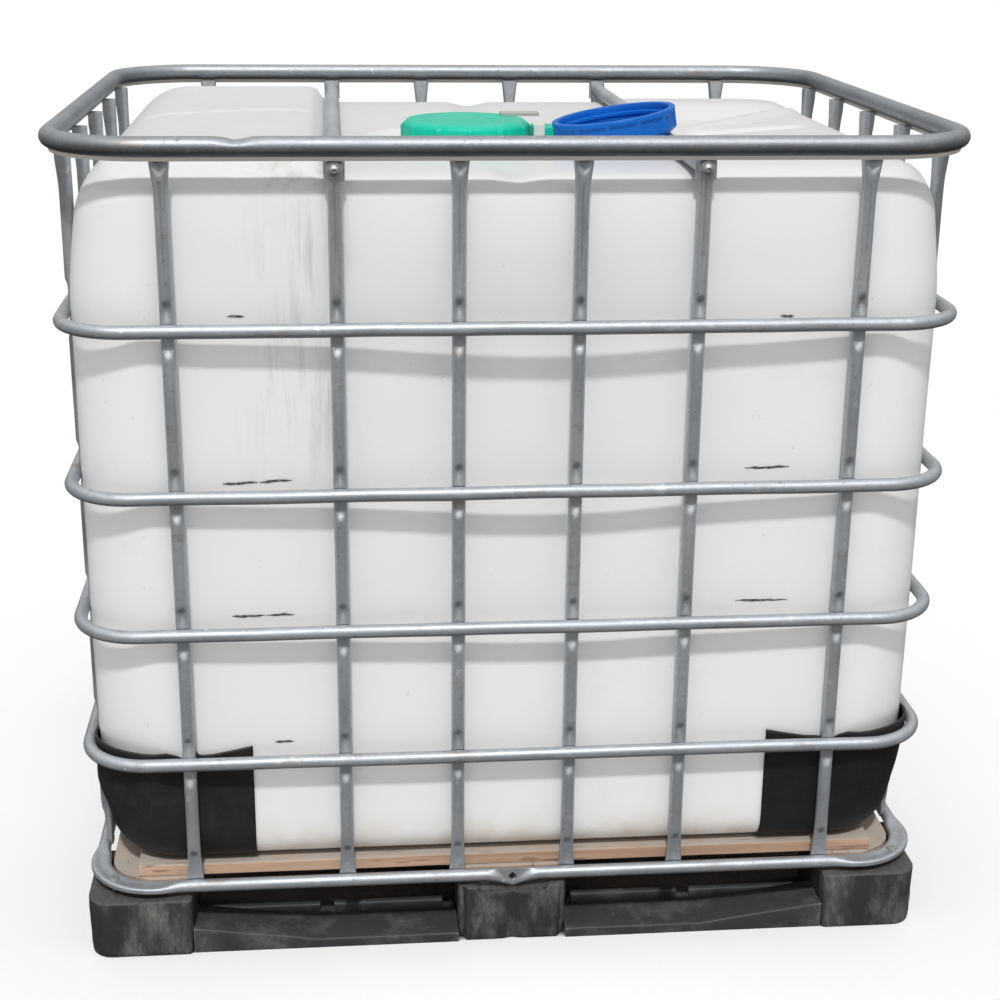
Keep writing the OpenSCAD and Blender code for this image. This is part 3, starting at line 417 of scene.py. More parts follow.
def bar(low, high, axis, edge=3, cells=24, end=2.5, warp=None, cellsAcross=4):
    # rounded-edged bar: a rounded section carried along one axis, drawn in at both ends
    low, high = np.array(low, float), np.array(high, float)
    a, b = [k for k in range(3) if k != axis]
    size, mid = high - low, (high + low) / 2
    ease = np.array([1, 0.45, 0.12, 0]) * end  # a quarter round in four steps
    step = end - np.array([1, 0.89, 0.53, 0]) * end
    drawn = np.concatenate([ease, np.zeros(cells - 1), ease[::-1]])
    inner = np.linspace(low[axis] + end, high[axis] - end, cells + 1)[1:-1]
    along = np.concatenate([low[axis] + step, inner, high[axis] - step[::-1]])
    rings = np.stack([outline(size[a], size[b], (edge,) * 4, inset, 3, cellsAcross) for inset in drawn])
    at = np.empty(rings.shape[:2] + (3,))
    at[..., axis], at[..., a], at[..., b] = along[:, None], mid[a] + rings[..., 0], mid[b] + rings[..., 1]
    if warp is not None:
        at = warp(at)
    return surface(at, False, True, (0, -1))


hoopLevels = [289, 478, 669.02, 888]
railSize = {"width": 1200, "depth": 1000, "tube": 12.5, "corner": 140, "top": 1129, "lip": 5, "lipHalf": 1.5,
            "lipOpen": 12, "dentAt": -348, "dentWide": 13, "dentDeep": 4.5, "dentIn": 0.35, "wave": 0.12,
            "waveLong": 90, "waveSink": 1.8}


def topRail(size):
    # round tube with a pinched lip below; one knock pushes the tube's upper front inwards
    r, lip, bottom = size["tube"], size["lipHalf"], -size["tube"] - size["lip"]
    points, normals = ringPath(size, 12, 18)
    a = np.radians(np.linspace(size["lipOpen"] - 90, 270 - size["lipOpen"], 40))
    out = np.concatenate([r * np.cos(a), [-lip, 0.5 - lip, lip - 0.5, lip]])
    up = np.concatenate([r * np.sin(a), [bottom + 0.8, bottom, bottom, bottom + 0.8]])
    front = (points[:, 1:] < 0) * bell((points[:, :1] - size["dentAt"]) / size["dentWide"])
    push = size["dentDeep"] * front * ramp(up / r)
    wave = ripple(stack(points[:, :1], points[:, 1:], up), size["waveLong"], 3) - size["waveSink"]
    out = out - size["dentIn"] * push + size["wave"] * wave
    makePiece("top_rail_tube", [sweepRing(points, normals, size["top"] - r, out, up - push)], railSteel,
              stands=("top_rail",))


hoopSize = {"width": 1186, "depth": 986, "tube": 9, "corner": 96, "seamOn": (2, 3), "seamAt": -101,
            "seamRise": 0.7, "seamLong": 16, "crimpLong": 4, "wave": 0.5, "waveLong": 420}


def hoop(number, level, size):
    # bent tube, slightly waved, with the crimped seam where its two ends meet
    r = size["tube"]
    points, normals = ringPath(size, 14, 14)
    a = np.linspace(0, 2 * np.pi, 24, endpoint=False)
    seam = np.where(points[:, 1:] < -450, points[:, :1] - size["seamAt"], 1e3)  # on the front run only
    swell = bell(seam / size["seamLong"]) - 1.6 * bell(seam / size["crimpLong"])
    radius = r + size["seamRise"] * swell * (number in size["seamOn"])
    wave = size["wave"] * ripple(stack(points[:, :1], points[:, 1:], level), size["waveLong"], 10 + number)
    tube = sweepRing(points, normals, level + wave, radius * np.cos(a), radius * np.sin(a))
    makePiece(f"hoop_{number}_tube", [tube], steel, stands=(f"hoop_{number}",))


uprightSize = {"frontRow": (-442, -231, -77, 77, 231, 442), "sideRow": (-345, -172, 0, 172, 345), "frontAt": 474,
               "sideAt": 574, "shortLow": 282, "tube": 9, "endHalf": 12.6, "endLow": 1040, "endTop": 1103.8,
               "headLow": 1060, "headLong": 38, "plateFront": -11.8, "plateBack": 8.4, "vLow": 1078, "vRise": 1.1,
               "vStep": 14, "headScoop": 6.2, "creaseLow": 950, "creaseTop": 1076, "creaseDeep": 3,
               "creaseWide": 1.4, "footHalf": 11.8, "footLow": 99.4, "footTop": 172, "footWide": 150,
               "footLong": 46, "footFront": -1.5, "footBack": 5.5, "spoonTop": 158, "spoonDeep": 7,
               "pocketHalf": 40, "pocketFine": 46, "pocketDeep": 6.6, "pocketWide": 7.6, "nestAxis": -10,
               "nestRadius": 9.2, "baseAxis": -5, "baseRadius": 11.2, "baseLevel": 97.2}


def upright(size, low, full=True):
    # tube whose front is pressed in where each hoop nests, its ends pressed flat and spread
    r, end, half, fine = size["tube"], size["endTop"], size["pocketHalf"], size["pocketFine"]
    marks = [np.arange(low, end, 22.0), np.arange(size["endLow"] - 20, end, 2.6), [low, end]]
    marks += [np.arange(level - fine, level + fine, 2.3) for level in hoopLevels]
    if full:
        marks += [np.arange(low, size["footTop"], 2.4)]
    z = np.unique(np.concatenate(marks).round(2))
    z = z[(z >= low) & (z <= end)]
    z = z[np.concatenate([[True], np.diff(z) > 0.7])][:, None]
    a = np.linspace(0, 2 * np.pi, 44, endpoint=False)[None]
    top = ramp((z - size["endLow"]) / 60)
    foot = ramp((size["footTop"] - z) / 62) if full else 0 * z
    power = 1 - 0.6 * np.maximum(top, foot)  # the lower, the squarer
    sx, cy = np.sin(a), np.cos(a)
    spread = (size["endHalf"] - r) * np.clip((z - size["headLow"]) / size["headLong"], 0, 1) ** 1.3
    splay = np.clip((size["footWide"] - z) / size["footLong"], 0, 1) ** 1.3 * full
    x = (r + (spread + (size["footHalf"] - r) * splay)) * np.sign(sx) * np.abs(sx) ** power
    front = -r + top * (size["plateFront"] + r) + foot * (size["footFront"] + r)
    back = r + top * (size["plateBack"] - r) + foot * (size["footBack"] - r)
    y = (front + back) / 2 - (back - front) / 2 * np.sign(cy) * np.abs(cy) ** power
    face = ramp(cy / 0.25)  # 1 on the front half
    scoop = 1.5 * bell(x / 5.6) * ramp((140 - z) / 16) * full
    edge = size["vLow"] + size["vRise"] * np.abs(x)  # lower edge of the head's hollow, a V
    scoop = scoop + size["headScoop"] * bell(x / 7.5) * ramp((z - edge) / size["vStep"]) * ramp((1101 - z) / 7)
    crease = size["creaseDeep"] * bell(x / size["creaseWide"])
    crease = crease * ramp((z - size["creaseLow"]) / 14) * ramp((size["creaseTop"] - z) / 12)
    bowl = np.clip(1 - (x / size["pocketWide"]) ** 2, 0, 1) ** 1.3
    for level in hoopLevels:  # spoon above the hoop, trough with a steep end below it
        u = z - level
        above = 1.3 * ramp((half + 2 - u) / 17) * (0.42 + 0.58 * ramp((u - 4) / 26))
        below = 0.9 * ramp((half - 2 + u) / 17)
        scoop = scoop + size["pocketDeep"] * bowl * np.where(u > 0, above, below) * (np.abs(u) < half + 2)
    if full:  # smaller spoon above the spread foot
        spoon = ramp((size["spoonTop"] - z) / 16) * (0.25 + 0.75 * ramp((z - 104) / 44))
        scoop = scoop + size["spoonDeep"] * bowl * spoon
    y = y + face * (scoop + crease)
    for level in hoopLevels:
        deep = size["nestRadius"] ** 2 - (z - level) ** 2
        nest = np.where(deep > 0, size["nestAxis"] + np.sqrt(np.maximum(deep, 0)), -40)
        y = softMax(y, nest, 0.5)
    if full:
        deep = size["baseRadius"] ** 2 - (z - size["baseLevel"]) ** 2 + 0 * x
        ring = np.where(deep > 0, size["baseAxis"] + np.sqrt(np.maximum(deep, 0)), -40)
        y = np.maximum(y, np.minimum(ring, size["footBack"] - 0.4))
    return stack(x, y, z)


def placed(at, turn, x, y):
    # turned about the upright axis by quarter turns, then moved
    c, s = round(math.cos(turn)), round(math.sin(turn))
    return stack(c * at[..., 0] - s * at[..., 1] + x, s * at[..., 0] + c * at[..., 1] + y, at[..., 2])


def uprights(size):
    # a row on each side; the one above the outlet is short
    whole, short = upright(size, size["footLow"]), upright(size, size["shortLow"], False)
    across, beside, quarter = size["frontAt"], size["sideAt"], math.pi / 2
    rows = {"front": [(whole, 0, x, -across) for x in size["frontRow"]],
            "rear": [(whole, math.pi, x, across) for x in size["frontRow"]],
            "left": [(whole, -quarter, -beside, y) for y in size["sideRow"]],
            "right": [(whole if y else short, quarter, beside, y) for y in size["sideRow"]]}
    for side, row in rows.items():
        tubes = [surface(placed(at, *where), False, True, (0, -1)) for at, *where in row]
        makePiece(f"{side}_upright_tubes", tubes, steel, stands=(f"{side}_uprights",), crease=50)


ringSize = {"width": 1177, "depth": 975, "tube": 8.8, "corner": 90, "level": 100, "flatHalf": 14, "flatThick": 5.5,
            "flatLong": 36, "dishDeep": 1.8, "tabReach": 36, "tabDrop": 17, "tabFace": 4.0, "tabLean": 0.1,
            "tabThick": 8, "holeHalf": 4, "holeDeep": 6, "holeTurn": 40, "holeDown": 2}


def baseRing(size):
    # tube pressed flat at its corners; at the front middle it is pinched to a pointed tab with a square hole
    r, drop, hole = size["tube"], size["tabDrop"], size["holeHalf"]
    runX, runY = size["width"] / 2 - size["corner"], size["depth"] / 2 - size["corner"]
    fine = np.arange(-48, 48.1, 1.2)  # closer points along the tab
    points, normals = ringPath(size, 9, 26, fine)
    x, y = points[:, :1], points[:, 1:]
    a = np.linspace(0, 2 * np.pi, 80, endpoint=False)[None]
    longRun, shortRun = np.abs(normals[:, 1:]) > 0.999, np.abs(normals[:, :1]) > 0.999
    far = np.where(longRun, runX - np.abs(x), np.where(shortRun, runY - np.abs(y), 0))
    flat = 1 - ramp((far - 3) / size["flatLong"])
    power = 1 - 0.45 * flat
    out = (r + (size["flatHalf"] - r) * flat) * np.sign(np.cos(a)) * np.abs(np.cos(a)) ** power
    up = (r + (size["flatThick"] - r) * flat) * np.sign(np.sin(a)) * np.abs(np.sin(a)) ** power
    up = up - size["dishDeep"] * flat * bell(out / 9) * (np.sin(a) > 0)
    ahead = (normals[:, 1:] < -0.999) * 1.0
    point = ahead * np.clip(1 - np.abs(x) / size["tabReach"], 0, 1)
    up = np.where(up < 0, up * (1 + point * (drop / r - 1)), up)
    pinch = ahead * ramp((31 * (up + drop) / (r + drop) - np.abs(x)) / 20 + 0.5)
    lean = size["tabFace"] - size["tabLean"] * up  # the tab leans out towards its point
    out = out + pinch * np.where(out > 0, lean - out, np.maximum(lean - size["tabThick"] - out, 0))
    c, s = math.cos(math.radians(size["holeTurn"])), math.sin(math.radians(size["holeTurn"]))
    lift = up + size["holeDown"]
    side = np.maximum(np.abs(c * x + s * lift), np.abs(c * lift - s * x))
    out = out - ahead * (np.cos(a) > 0) * size["holeDeep"] * ramp((hole - side) / 0.9 + 0.5)
    t = np.linspace(-1, 1, 5)
    u, v = np.meshgrid(t * hole * 0.98, t * hole * 0.98, indexing="ij")
    behind = -size["depth"] / 2 + r - size["tabFace"] + 2.2
    plug = stack(c * u - s * v, behind + 0.05 * (u * u + v * v), size["level"] - size["holeDown"] + s * u + c * v)
    makePiece("tab_hole_shade_sheet", [surface(plug)], holeShade, shell=1)  # dark sheet inside the square hole: painted shade where the hole lies in shadow
    makePiece("base_ring_tube", [sweepRing(points, normals, size["level"], out, up)], steel,
              stands=("bottom_rail",), crease=45)


topRail(railSize)
baseRing(ringSize)
for number, level in enumerate(hoopLevels):
    hoop(number + 1, level, hoopSize)
uprights(uprightSize)
print("cage made")


bottleSize = {"width": 1120, "depth": 920, "low": 121.5, "block": 1106, "middle": 1077, "rise": 66, "rightRise": 8,
              "corner": 100, "shoulder": 94, "frontIn": 96, "frontDown": 56, "heel": 45, "wall": 3,
              "neckAt": (-42, -100), "hole": 160, "dish": 153, "neck": 84, "threadLow": 1072, "threadTop": 1094,
              "pitch": 7.0, "outletLevel": 205, "recessDeep": 118, "recessHalf": 132, "recessTop": 332, "soft": 15}


topSize = {"blockEdge": 236, "blockSlope": 40, "rightSlope": 34, "grooveDeep": 10.5, "grooveWide": 36,
           "backDeep": 19, "backSlope": 46, "ridgeHigh": 6, "ridgeWide": 12, "foldDeep": 9, "foldWide": 11,
           "creaseDeep": 3.2, "creaseWide": 8,
           "creaseLine": ([-498, -450, -402, -352, -294, -249], [-59, -34, -9, 17, 17, -22])}


def topLevel(x, y, size, top):
    # height of the top: raised block on the left, low block on the right, groove, folds and dents
    level = size["middle"] + size["rise"] * ramp((-top["blockEdge"] - x) / top["blockSlope"])
    level = level + size["rightRise"] * ramp((x - top["blockEdge"]) / top["rightSlope"])
    level = level - top["grooveDeep"] * np.clip(1 - np.sqrt((x / top["grooveWide"]) ** 2 + 0.03), 0, 1)
    back = 0.635 * (y + 98) - 0.774 * (x - 248)  # distance behind the diagonal fold
    level = level - top["backDeep"] * ramp(back / top["backSlope"]) * ramp((x - 246) / 40) * ramp((330 - y) / 160)
    level = level + top["ridgeHigh"] * bell(back / top["ridgeWide"]) * ramp((x - 250) / 60)
    fold = y + 99 - 0.5 * (x - 285)  # distance behind the second fold
    return level - top["foldDeep"] * bell(fold / top["foldWide"]) * ramp((x - 262) / 50) * ramp((500 - x) / 60)


swellSize = {"low": 140, "high": 1070, "fade": 170, "side": 17, "held": 12, "barWide": 20, "ends": 6, "endAt": 500,
             "endWide": 60, "sinkAt": 45, "rearShare": 0.6, "uneven": 0.6, "unevenLong": 260,
             "sinkWide": ([300, 430, 620, 850, 1000], [260, 270, 225, 280, 320]),
             "sinkDeep": ([180, 290, 430, 620, 750, 850, 900, 950, 990, 1020], [0, 2, 12, 18, 20, 19, 15, 8, 2, 0])}


def bulge(x, y, z, normals, size):
    # side walls swell out between the bars that hold them; the front and rear walls sink in the upper middle
    wall = ramp((z - size["low"]) / size["fade"]) * ramp((size["high"] - z) / size["fade"])
    bars = sum(bell((y - place) / size["barWide"]) for place in uprightSize["sideRow"])
    ends = bell((np.abs(x) - size["endAt"]) / size["endWide"]) * normals[:, 1] ** 2
    swell = normals[:, 0] ** 2 * (size["side"] - size["held"] * np.minimum(bars, 1)) + size["ends"] * ends
    wide, deep = np.interp(z, *size["sinkWide"]), np.interp(z, *size["sinkDeep"])
    share = np.where(normals[:, 1] < 0, 1, size["rearShare"])
    sink = deep * bell((x - size["sinkAt"]) / wide) * np.abs(normals[:, 1]) ** 3 * share
    return wall * swell - sink - size["uneven"] * wall * (1 + ripple(stack(x, y, z), size["unevenLong"], 5))


def bottleSkin(at, normals, size):
    # lowers the blank to its top levels, hollows the outlet recess and presses the walls in at the bars
    x, y, z = at[..., 0], at[..., 1], at[..., 2]
    crease = topSize["creaseDeep"] * bell((y - np.interp(x, *topSize["creaseLine"])) / topSize["creaseWide"])
    z = z - crease * ramp((-256 - x) / 20) * ramp((x + 520) / 40) * ramp((z - 1060) / 40)
    z = np.where(z > 900, softMin(z, topLevel(x, y, size, topSize), size["soft"]), z)
    if normals is not None:
        swell = bulge(x, y, z, normals, swellSize)
        x, y = x + normals[:, 0] * swell, y + normals[:, 1] * swell
    inward = ramp((size["recessHalf"] - np.abs(y)) / 30) * ramp((size["recessTop"] - z) / 30)
    x = x - size["recessDeep"] * inward * np.clip((x - 250) / 265, 0, 1)  # less and less towards the middle
    return stack(x, y, z)


def bottle(size):
    # walls: a core rectangle pushed out along its normals, less the inset at each level; a grid for the top, with
    # a square hole that closes to the round dish and the threaded neck
    coreX, coreY = size["width"] / 2 - size["corner"], size["depth"] / 2 - size["corner"]
    neckX, neckY = size["neckAt"]
    hole = size["hole"]
    xs = np.concatenate([np.linspace(-coreX, neckX - hole, 25)[:-1], np.linspace(neckX - hole, neckX + hole, 41)[:-1],
                         np.linspace(neckX + hole, coreX, 33)])
    ys = np.concatenate([np.linspace(-coreY, neckY - hole, 11)[:-1], np.linspace(neckY - hole, neckY + hole, 41)[:-1],
                         np.linspace(neckY + hole, 140, 11)[:-1], np.linspace(140, coreY, 21)])
    points, normals = [], []
    sides = [(xs, 0 * xs - coreY), (0 * ys + coreX, ys), (xs[::-1], 0 * xs + coreY), (0 * ys - coreX, ys[::-1])]
    for k, side in enumerate(sides):
        line, turn = np.stack(side, 1), np.radians(90 * k - 90)
        a = np.radians(90 * k - 90 + np.linspace(0, 90, 11)[1:-1])
        points += [line, np.repeat(line[-1:], len(a), 0)]
        normals += [np.tile([np.cos(turn), np.sin(turn)], (len(line), 1)), np.stack([np.cos(a), np.sin(a)], 1)]
    points, normals = np.concatenate(points), np.concatenate(normals)
    a = np.radians(np.linspace(0, 90, 9))
    b = np.radians(np.linspace(0, 90, 16))
    across = normals[:, 1] ** 2
    shoulderIn = (size["frontIn"] * across + size["shoulder"] * (1 - across))[None]
    shoulderDown = (size["frontDown"] * across + size["shoulder"] * (1 - across))[None]
    shoulderLow = size["block"] - max(size["shoulder"], size["frontDown"])
    wallZ = np.concatenate([np.linspace(size["low"] + size["heel"], 288, 8)[1:], np.linspace(294, 336, 9),
                            np.linspace(356, shoulderLow, 34)[:-1]])
    arch, steep = (1 - np.cos(b))[:, None], np.sin(b)[:, None]
    shoulderBend = across * steep ** 2 + (1 - across) * arch  # parabola in front, arc at the sides
    column = lambda values: np.array(values)[:, None] + 0 * shoulderIn
    inset = np.concatenate([column(size["heel"] * (1 - np.sin(a))), column(0 * wallZ), shoulderBend * shoulderIn,
                            column([97.5, size["corner"]])])
    z = np.concatenate([column(size["low"] + size["heel"] * (1 - np.cos(a))), column(wallZ),
                        size["block"] - shoulderDown + steep * shoulderDown, column([size["block"]] * 2)])
    reach = size["corner"] - inset
    sideWall = stack(points[:, 0] + normals[:, 0] * reach, points[:, 1] + normals[:, 1] * reach, z)
    gridX, gridY = np.meshgrid(xs, ys, indexing="ij")
    inHole = lambda line, centre: np.abs((line[:-1] + line[1:]) / 2 - centre) < hole
    drop = inHole(xs, neckX)[:, None] & inHole(ys, neckY)[None]
    t = np.linspace(-hole, hole, 41)[:-1]
    edges = [(t, 0 * t - hole), (0 * t + hole, t), (-t, 0 * t + hole), (0 * t - hole, -t)]
    rim = np.concatenate([np.stack(edge, 1) for edge in edges])
    aim = rim / np.linalg.norm(rim, axis=1, keepdims=True)
    turnShare = np.arctan2(aim[:, 1], aim[:, 0]) / (2 * np.pi)
    flat = np.stack([rim * (1 - k) + aim * size["dish"] * k for k in (0, 0.35, 0.7, 1)])
    flatTop = bottleSkin(stack(flat[..., 0] + neckX, flat[..., 1] + neckY, size["block"]), None, size)
    low, high, pitch, n = size["threadLow"], size["threadTop"], size["pitch"], size["neck"]
    neckZ = np.linspace(low - 1, high, 22)
    dishR = np.array([149.5, 146, 142.5, 138, 120, 104, n + 8, n + 3.5, n + 1])
    dishZ = np.array([1074, 1070, 1067.2, 1066, 1066, 1066, 1066.2, 1067, 1069])
    lipR, lipZ = np.array([n - 0.8, n - 1.6, n - 3.2, n - 4.4]), np.array([1095.6, 1096.5, 1096.8, 1096.3])
    turns = (neckZ[:, None] - low) / pitch - turnShare[None]
    thread = bell((turns - np.round(turns)) * pitch / 1.5)
    thread = thread * ramp((neckZ[:, None] - low) / 3) * ramp((high - neckZ[:, None]) / 3)
    level = np.concatenate([dishZ, neckZ, lipZ])[:, None]
    around = lambda values: np.repeat(values[:, None], len(aim), 1)
    radius = np.concatenate([around(dishR), n - 1.6 + 1.4 * thread, around(lipR)])
    level = np.where(radius > 148, np.minimum(level + 0 * radius, flatTop[-1, :, 2] - 0.8), level)
    neck = stack(neckX + aim[:, 0] * radius, neckY + aim[:, 1] * radius, level)
    makePiece("bottle_shell", [surface(bottleSkin(sideWall, normals, size), False, True, (0,)),
                               surface(bottleSkin(stack(gridX, gridY, size["block"]), None, size), drop=drop),
                               surface(np.concatenate([flatTop, neck]), False, True)],
              milky, stands=("bottle",), crease=60, shell=-size["wall"])
    r = np.array([38, 38, 37, 26, 25, 25, 30])  # outlet stub, a closed profile turned about its axis
    x = np.array([440, 467, 468, 468, 467, 440, 438])
    turn = np.linspace(0, 2 * np.pi, 48, endpoint=False)[:, None]
    stub = surface(stack(x, r * np.cos(turn), size["outletLevel"] + r * np.sin(turn)), True, True)
    makePiece("bottle_outlet_neck", [stub], milky)


markSize = {"dash": 44, "waver": 0.8, "half": 1.15, "tip": 0.3, "proud": 0.7, "thick": 0.2,
            "strokes": ((-369, 901, -345, 902), (-384, 680, -288, 683), (-378, 494, -288, 495), (-327, 308, -298, 308),
                        (342, 893, 364, 894), (306, 687, 380, 689), (303, 497, 386, 498))}


def levelMarks(size):
    # hand-drawn strokes: a ribbon along a wavering line, thin at its ends, lying on the front wall
    across = np.array([[-1, -0.4, 0.4, 1]])
    ribbons = []
    for k, (x0, z0, x1, z1) in enumerate(size["strokes"]):
        count = max(1, int((x1 - x0) / size["dash"]))
        for dash in range(count):
            t = (dash + np.linspace(0.01, 0.9 + 0.08 * math.sin(dash * 2.1 + k), 14)[:, None]) / count
            x = x0 + (x1 - x0) * t
            z = z0 + (z1 - z0) * t + size["waver"] * ripple(stack(x, 0 * x, 0 * x), 34, 20 + k)
            edge = ramp(14 * np.minimum(t - t[0], t[-1] - t) * count / 3)
            half = size["tip"] + size["half"] * edge * (1 + 0.5 * ripple(stack(x, 0 * x, 0 * x), 9, 40 + k))
            at = stack(x, -bottleSize["depth"] / 2, z + across * half)
            pressed = bottleSkin(at, np.tile([[0, -1.0]], (4, 1)), bottleSize)
            pressed[..., 1] -= size["proud"]
            ribbons.append(surface(pressed))
    makePiece("level_marks", ribbons, inkBlack, shell=size["thick"])


bottle(bottleSize)
levelMarks(markSize)
print("bottle made")


guardSize = {"frontEnd": 357, "sideEnd": 210, "top": 297, "gap": 0.4, "thick": 2.8, "slitAt": 442,
             "edge": ([-85, -30, -14, 0, 30], [7, -3, -4, -6, 0]), "flare": 11.5, "cornerFlare": 13.5,
             "cornerRise": 7, "sideUpright": 190, "belly": {-1: 8, 1: 2}, "tongue": {-1: 9, 1: 0}}


def guard(name, sideX, sideY, size):
    # sheet that follows the bottle's heel and wall round one corner; its top edge waves and is slit at the upright
    b = bottleSize
    coreX, coreY = b["width"] / 2 - b["corner"], b["depth"] / 2 - b["corner"]
    xRun = np.linspace(size["frontEnd"], coreX, 28)
    yRun = np.linspace(coreY, size["sideEnd"], 22)
    a = np.radians(np.linspace(90, 0, 14))[1:-1]
    points = np.concatenate([np.stack([xRun, 0 * xRun + coreY], 1), np.repeat([[coreX, coreY]], len(a), 0),
                             np.stack([0 * yRun + coreX, yRun], 1)])
    normals = np.concatenate([np.tile([0.0, 1.0], (len(xRun), 1)), np.stack([np.cos(a), np.sin(a)], 1),
                              np.tile([1.0, 0.0], (len(yRun), 1))])
    reach, wallLow = b["heel"] + size["gap"], b["low"] + b["heel"]
    h = np.radians(np.linspace(22, 90, 9))[:, None]
    spread = points + normals * b["corner"]
    along = np.concatenate([[0], np.cumsum(np.linalg.norm(np.diff(spread, axis=0), axis=1))])
    q = along - (size["slitAt"] - size["frontEnd"])  # distance past the slit
    corner = np.abs(normals[:, 0] * normals[:, 1]) * 2
    top = size["top"] + np.interp(q, *size["edge"]) + 1.2 * np.sin(q / 30) + size["cornerRise"] * corner
    top = top + size["tongue"][sideX] * bell((q + 5) / 5) - 4 * bell((q - 10) / 8)
    v = np.concatenate([np.linspace(0, 0.8, 9)[1:], np.linspace(0.83, 1, 10)])[:, None]
    z = np.concatenate([wallLow - reach * np.cos(h) + 0 * q, wallLow + (top - wallLow) * v])
    inset = np.concatenate([b["heel"] - reach * np.sin(h) + 0 * q, 0 * v - size["gap"] + 0 * q])
    held = bulge(sideX * spread[:, 0], sideY * spread[:, 1], z, normals, swellSize)  # the bottle's own swell
    free = ramp((q - 12) / 40) * ramp((310 - q) / 50) * (1 - bell((q - size["sideUpright"]) / 15))
    flare = (size["flare"] * free + size["cornerFlare"] * corner) * np.clip((z - 146) / 139, 0, 1)
    belly = size["belly"][sideX] * ramp((q - 30) / 40) * ramp((178 - q) / 22) * bell((z - 228) / 34)
    curl = np.maximum(np.maximum(held, 0), flare + belly)
    out = b["corner"] - inset + curl * (z > wallLow - 20)
    at = stack(sideX * (points[:, 0] + normals[:, 0] * out), sideY * (points[:, 1] + normals[:, 1] * out), z)
    if sideX * sideY < 0:
        at = at[:, ::-1]
    makePiece(f"{name}_sheet", [surface(at)], guardBlack, stands=(name,), shell=size["thick"])


for sideX, wordX in ((-1, "left"), (1, "right")):
    for sideY, wordY in ((-1, "front"), (1, "rear")):
        guard(f"guard_{wordY}_{wordX}", sideX, sideY, guardSize)
print("guards made")


footSize = {"high": 86, "sideWidth": 143, "midWidth": 152, "deep": 145, "over": 6, "round": 32, "small": 7,
            "wall": 8, "x": 518.5, "y": 417.5, "cut": {-1: 5, 1: 11}, "rings": 44, "outerRings": 30, "wear": 0.7}


def foot(name, sx, sy, size):
    # hollow moulded block: an outline drawn in at its rolled edges, up the outside and back up inside
    corner = bool(sx and sy)
    over = size["over"] * corner
    overX = over - size["cut"][sx] if corner and sy < 0 else over
    width, deep = (size["sideWidth"] if sx else size["midWidth"]) + overX, size["deep"] + over
    midX, midY = sx * (size["x"] + overX / 2), sy * (size["y"] + over / 2)
    signs = ((1, -1), (1, 1), (-1, 1), (-1, -1))
    radii = [size["round"] if corner and (px, py) == (sx, sy) else size["small"] for px, py in signs]
    rim, high = size["wall"], size["high"]
    insets = [40, 20, 4.5, 1.6, 0.3, 0, 0, 0.3, 1.2, 1.6, 2.2, 3.8, 6, rim - 1, rim, rim + 1, rim + 4, 30]
    levels = [high, high, high, high - 0.7, high - 2, high - 5, 60, 40, 14, 5, 1.6, 0.3, 0, 0.4, 2, 60,
              high - rim, high - rim]
    places = np.linspace(0, len(levels) - 1, size["rings"])
    level, inset = (np.interp(places, np.arange(len(levels)), row) for row in (levels, insets))
    rings = np.stack([outline(width, deep, radii, drawn, 8, 30) for drawn in inset])
    x, y = rings[..., 0] + midX, rings[..., 1] + midY
    z = np.broadcast_to(level[:, None], x.shape)
    outer = (np.arange(size["rings"]) < size["outerRings"])[:, None]
    worn = size["wear"] * ripple(stack(x, y, z), 46, 7) * outer * ramp((high - z) / 8) * ramp(z / 8)
    x, y = x + worn * np.sign(rings[..., 0]), y + worn * np.sign(rings[..., 1])
    if not sx and sy:  # set-back flanges and a groove on the outer face
        back = ramp((np.abs(y) - 470) / 8)
        y = y - sy * back * (9 * ramp((np.abs(x) - 65) / 3) + 3.5 * bell(x / 8))
    if not sx and sy < 0:  # room for the base ring's tab
        z = np.where((np.abs(x) < 49) & (y < -477), np.minimum(z, 76), z)
    body = surface(stack(x, y, z), False, True, (0, -1))
    x0, x1, y0, y1 = midX - width / 2 + 6, midX + width / 2 - 6, midY - deep / 2 + 6, midY + deep / 2 - 6
    ribs = [bar((x0, midY - 4, 0.5), (x1, midY + 4, high - rim), 0, 1, 4, 1),
            bar((midX - 4, y0, 0.5), (midX + 4, y1, high - rim), 1, 1, 4, 1)]
    makePiece(f"{name}_block", [body] + ribs, footBlack, stands=(name,))


runnerSize = {"inner": 76.2, "outer": 446.8, "deep": 97, "tread": 66, "low": 14, "rise": 38, "riseFrom": 272,
              "rib": 12, "ribTop": 18, "front": -490, "wear": 0.5}


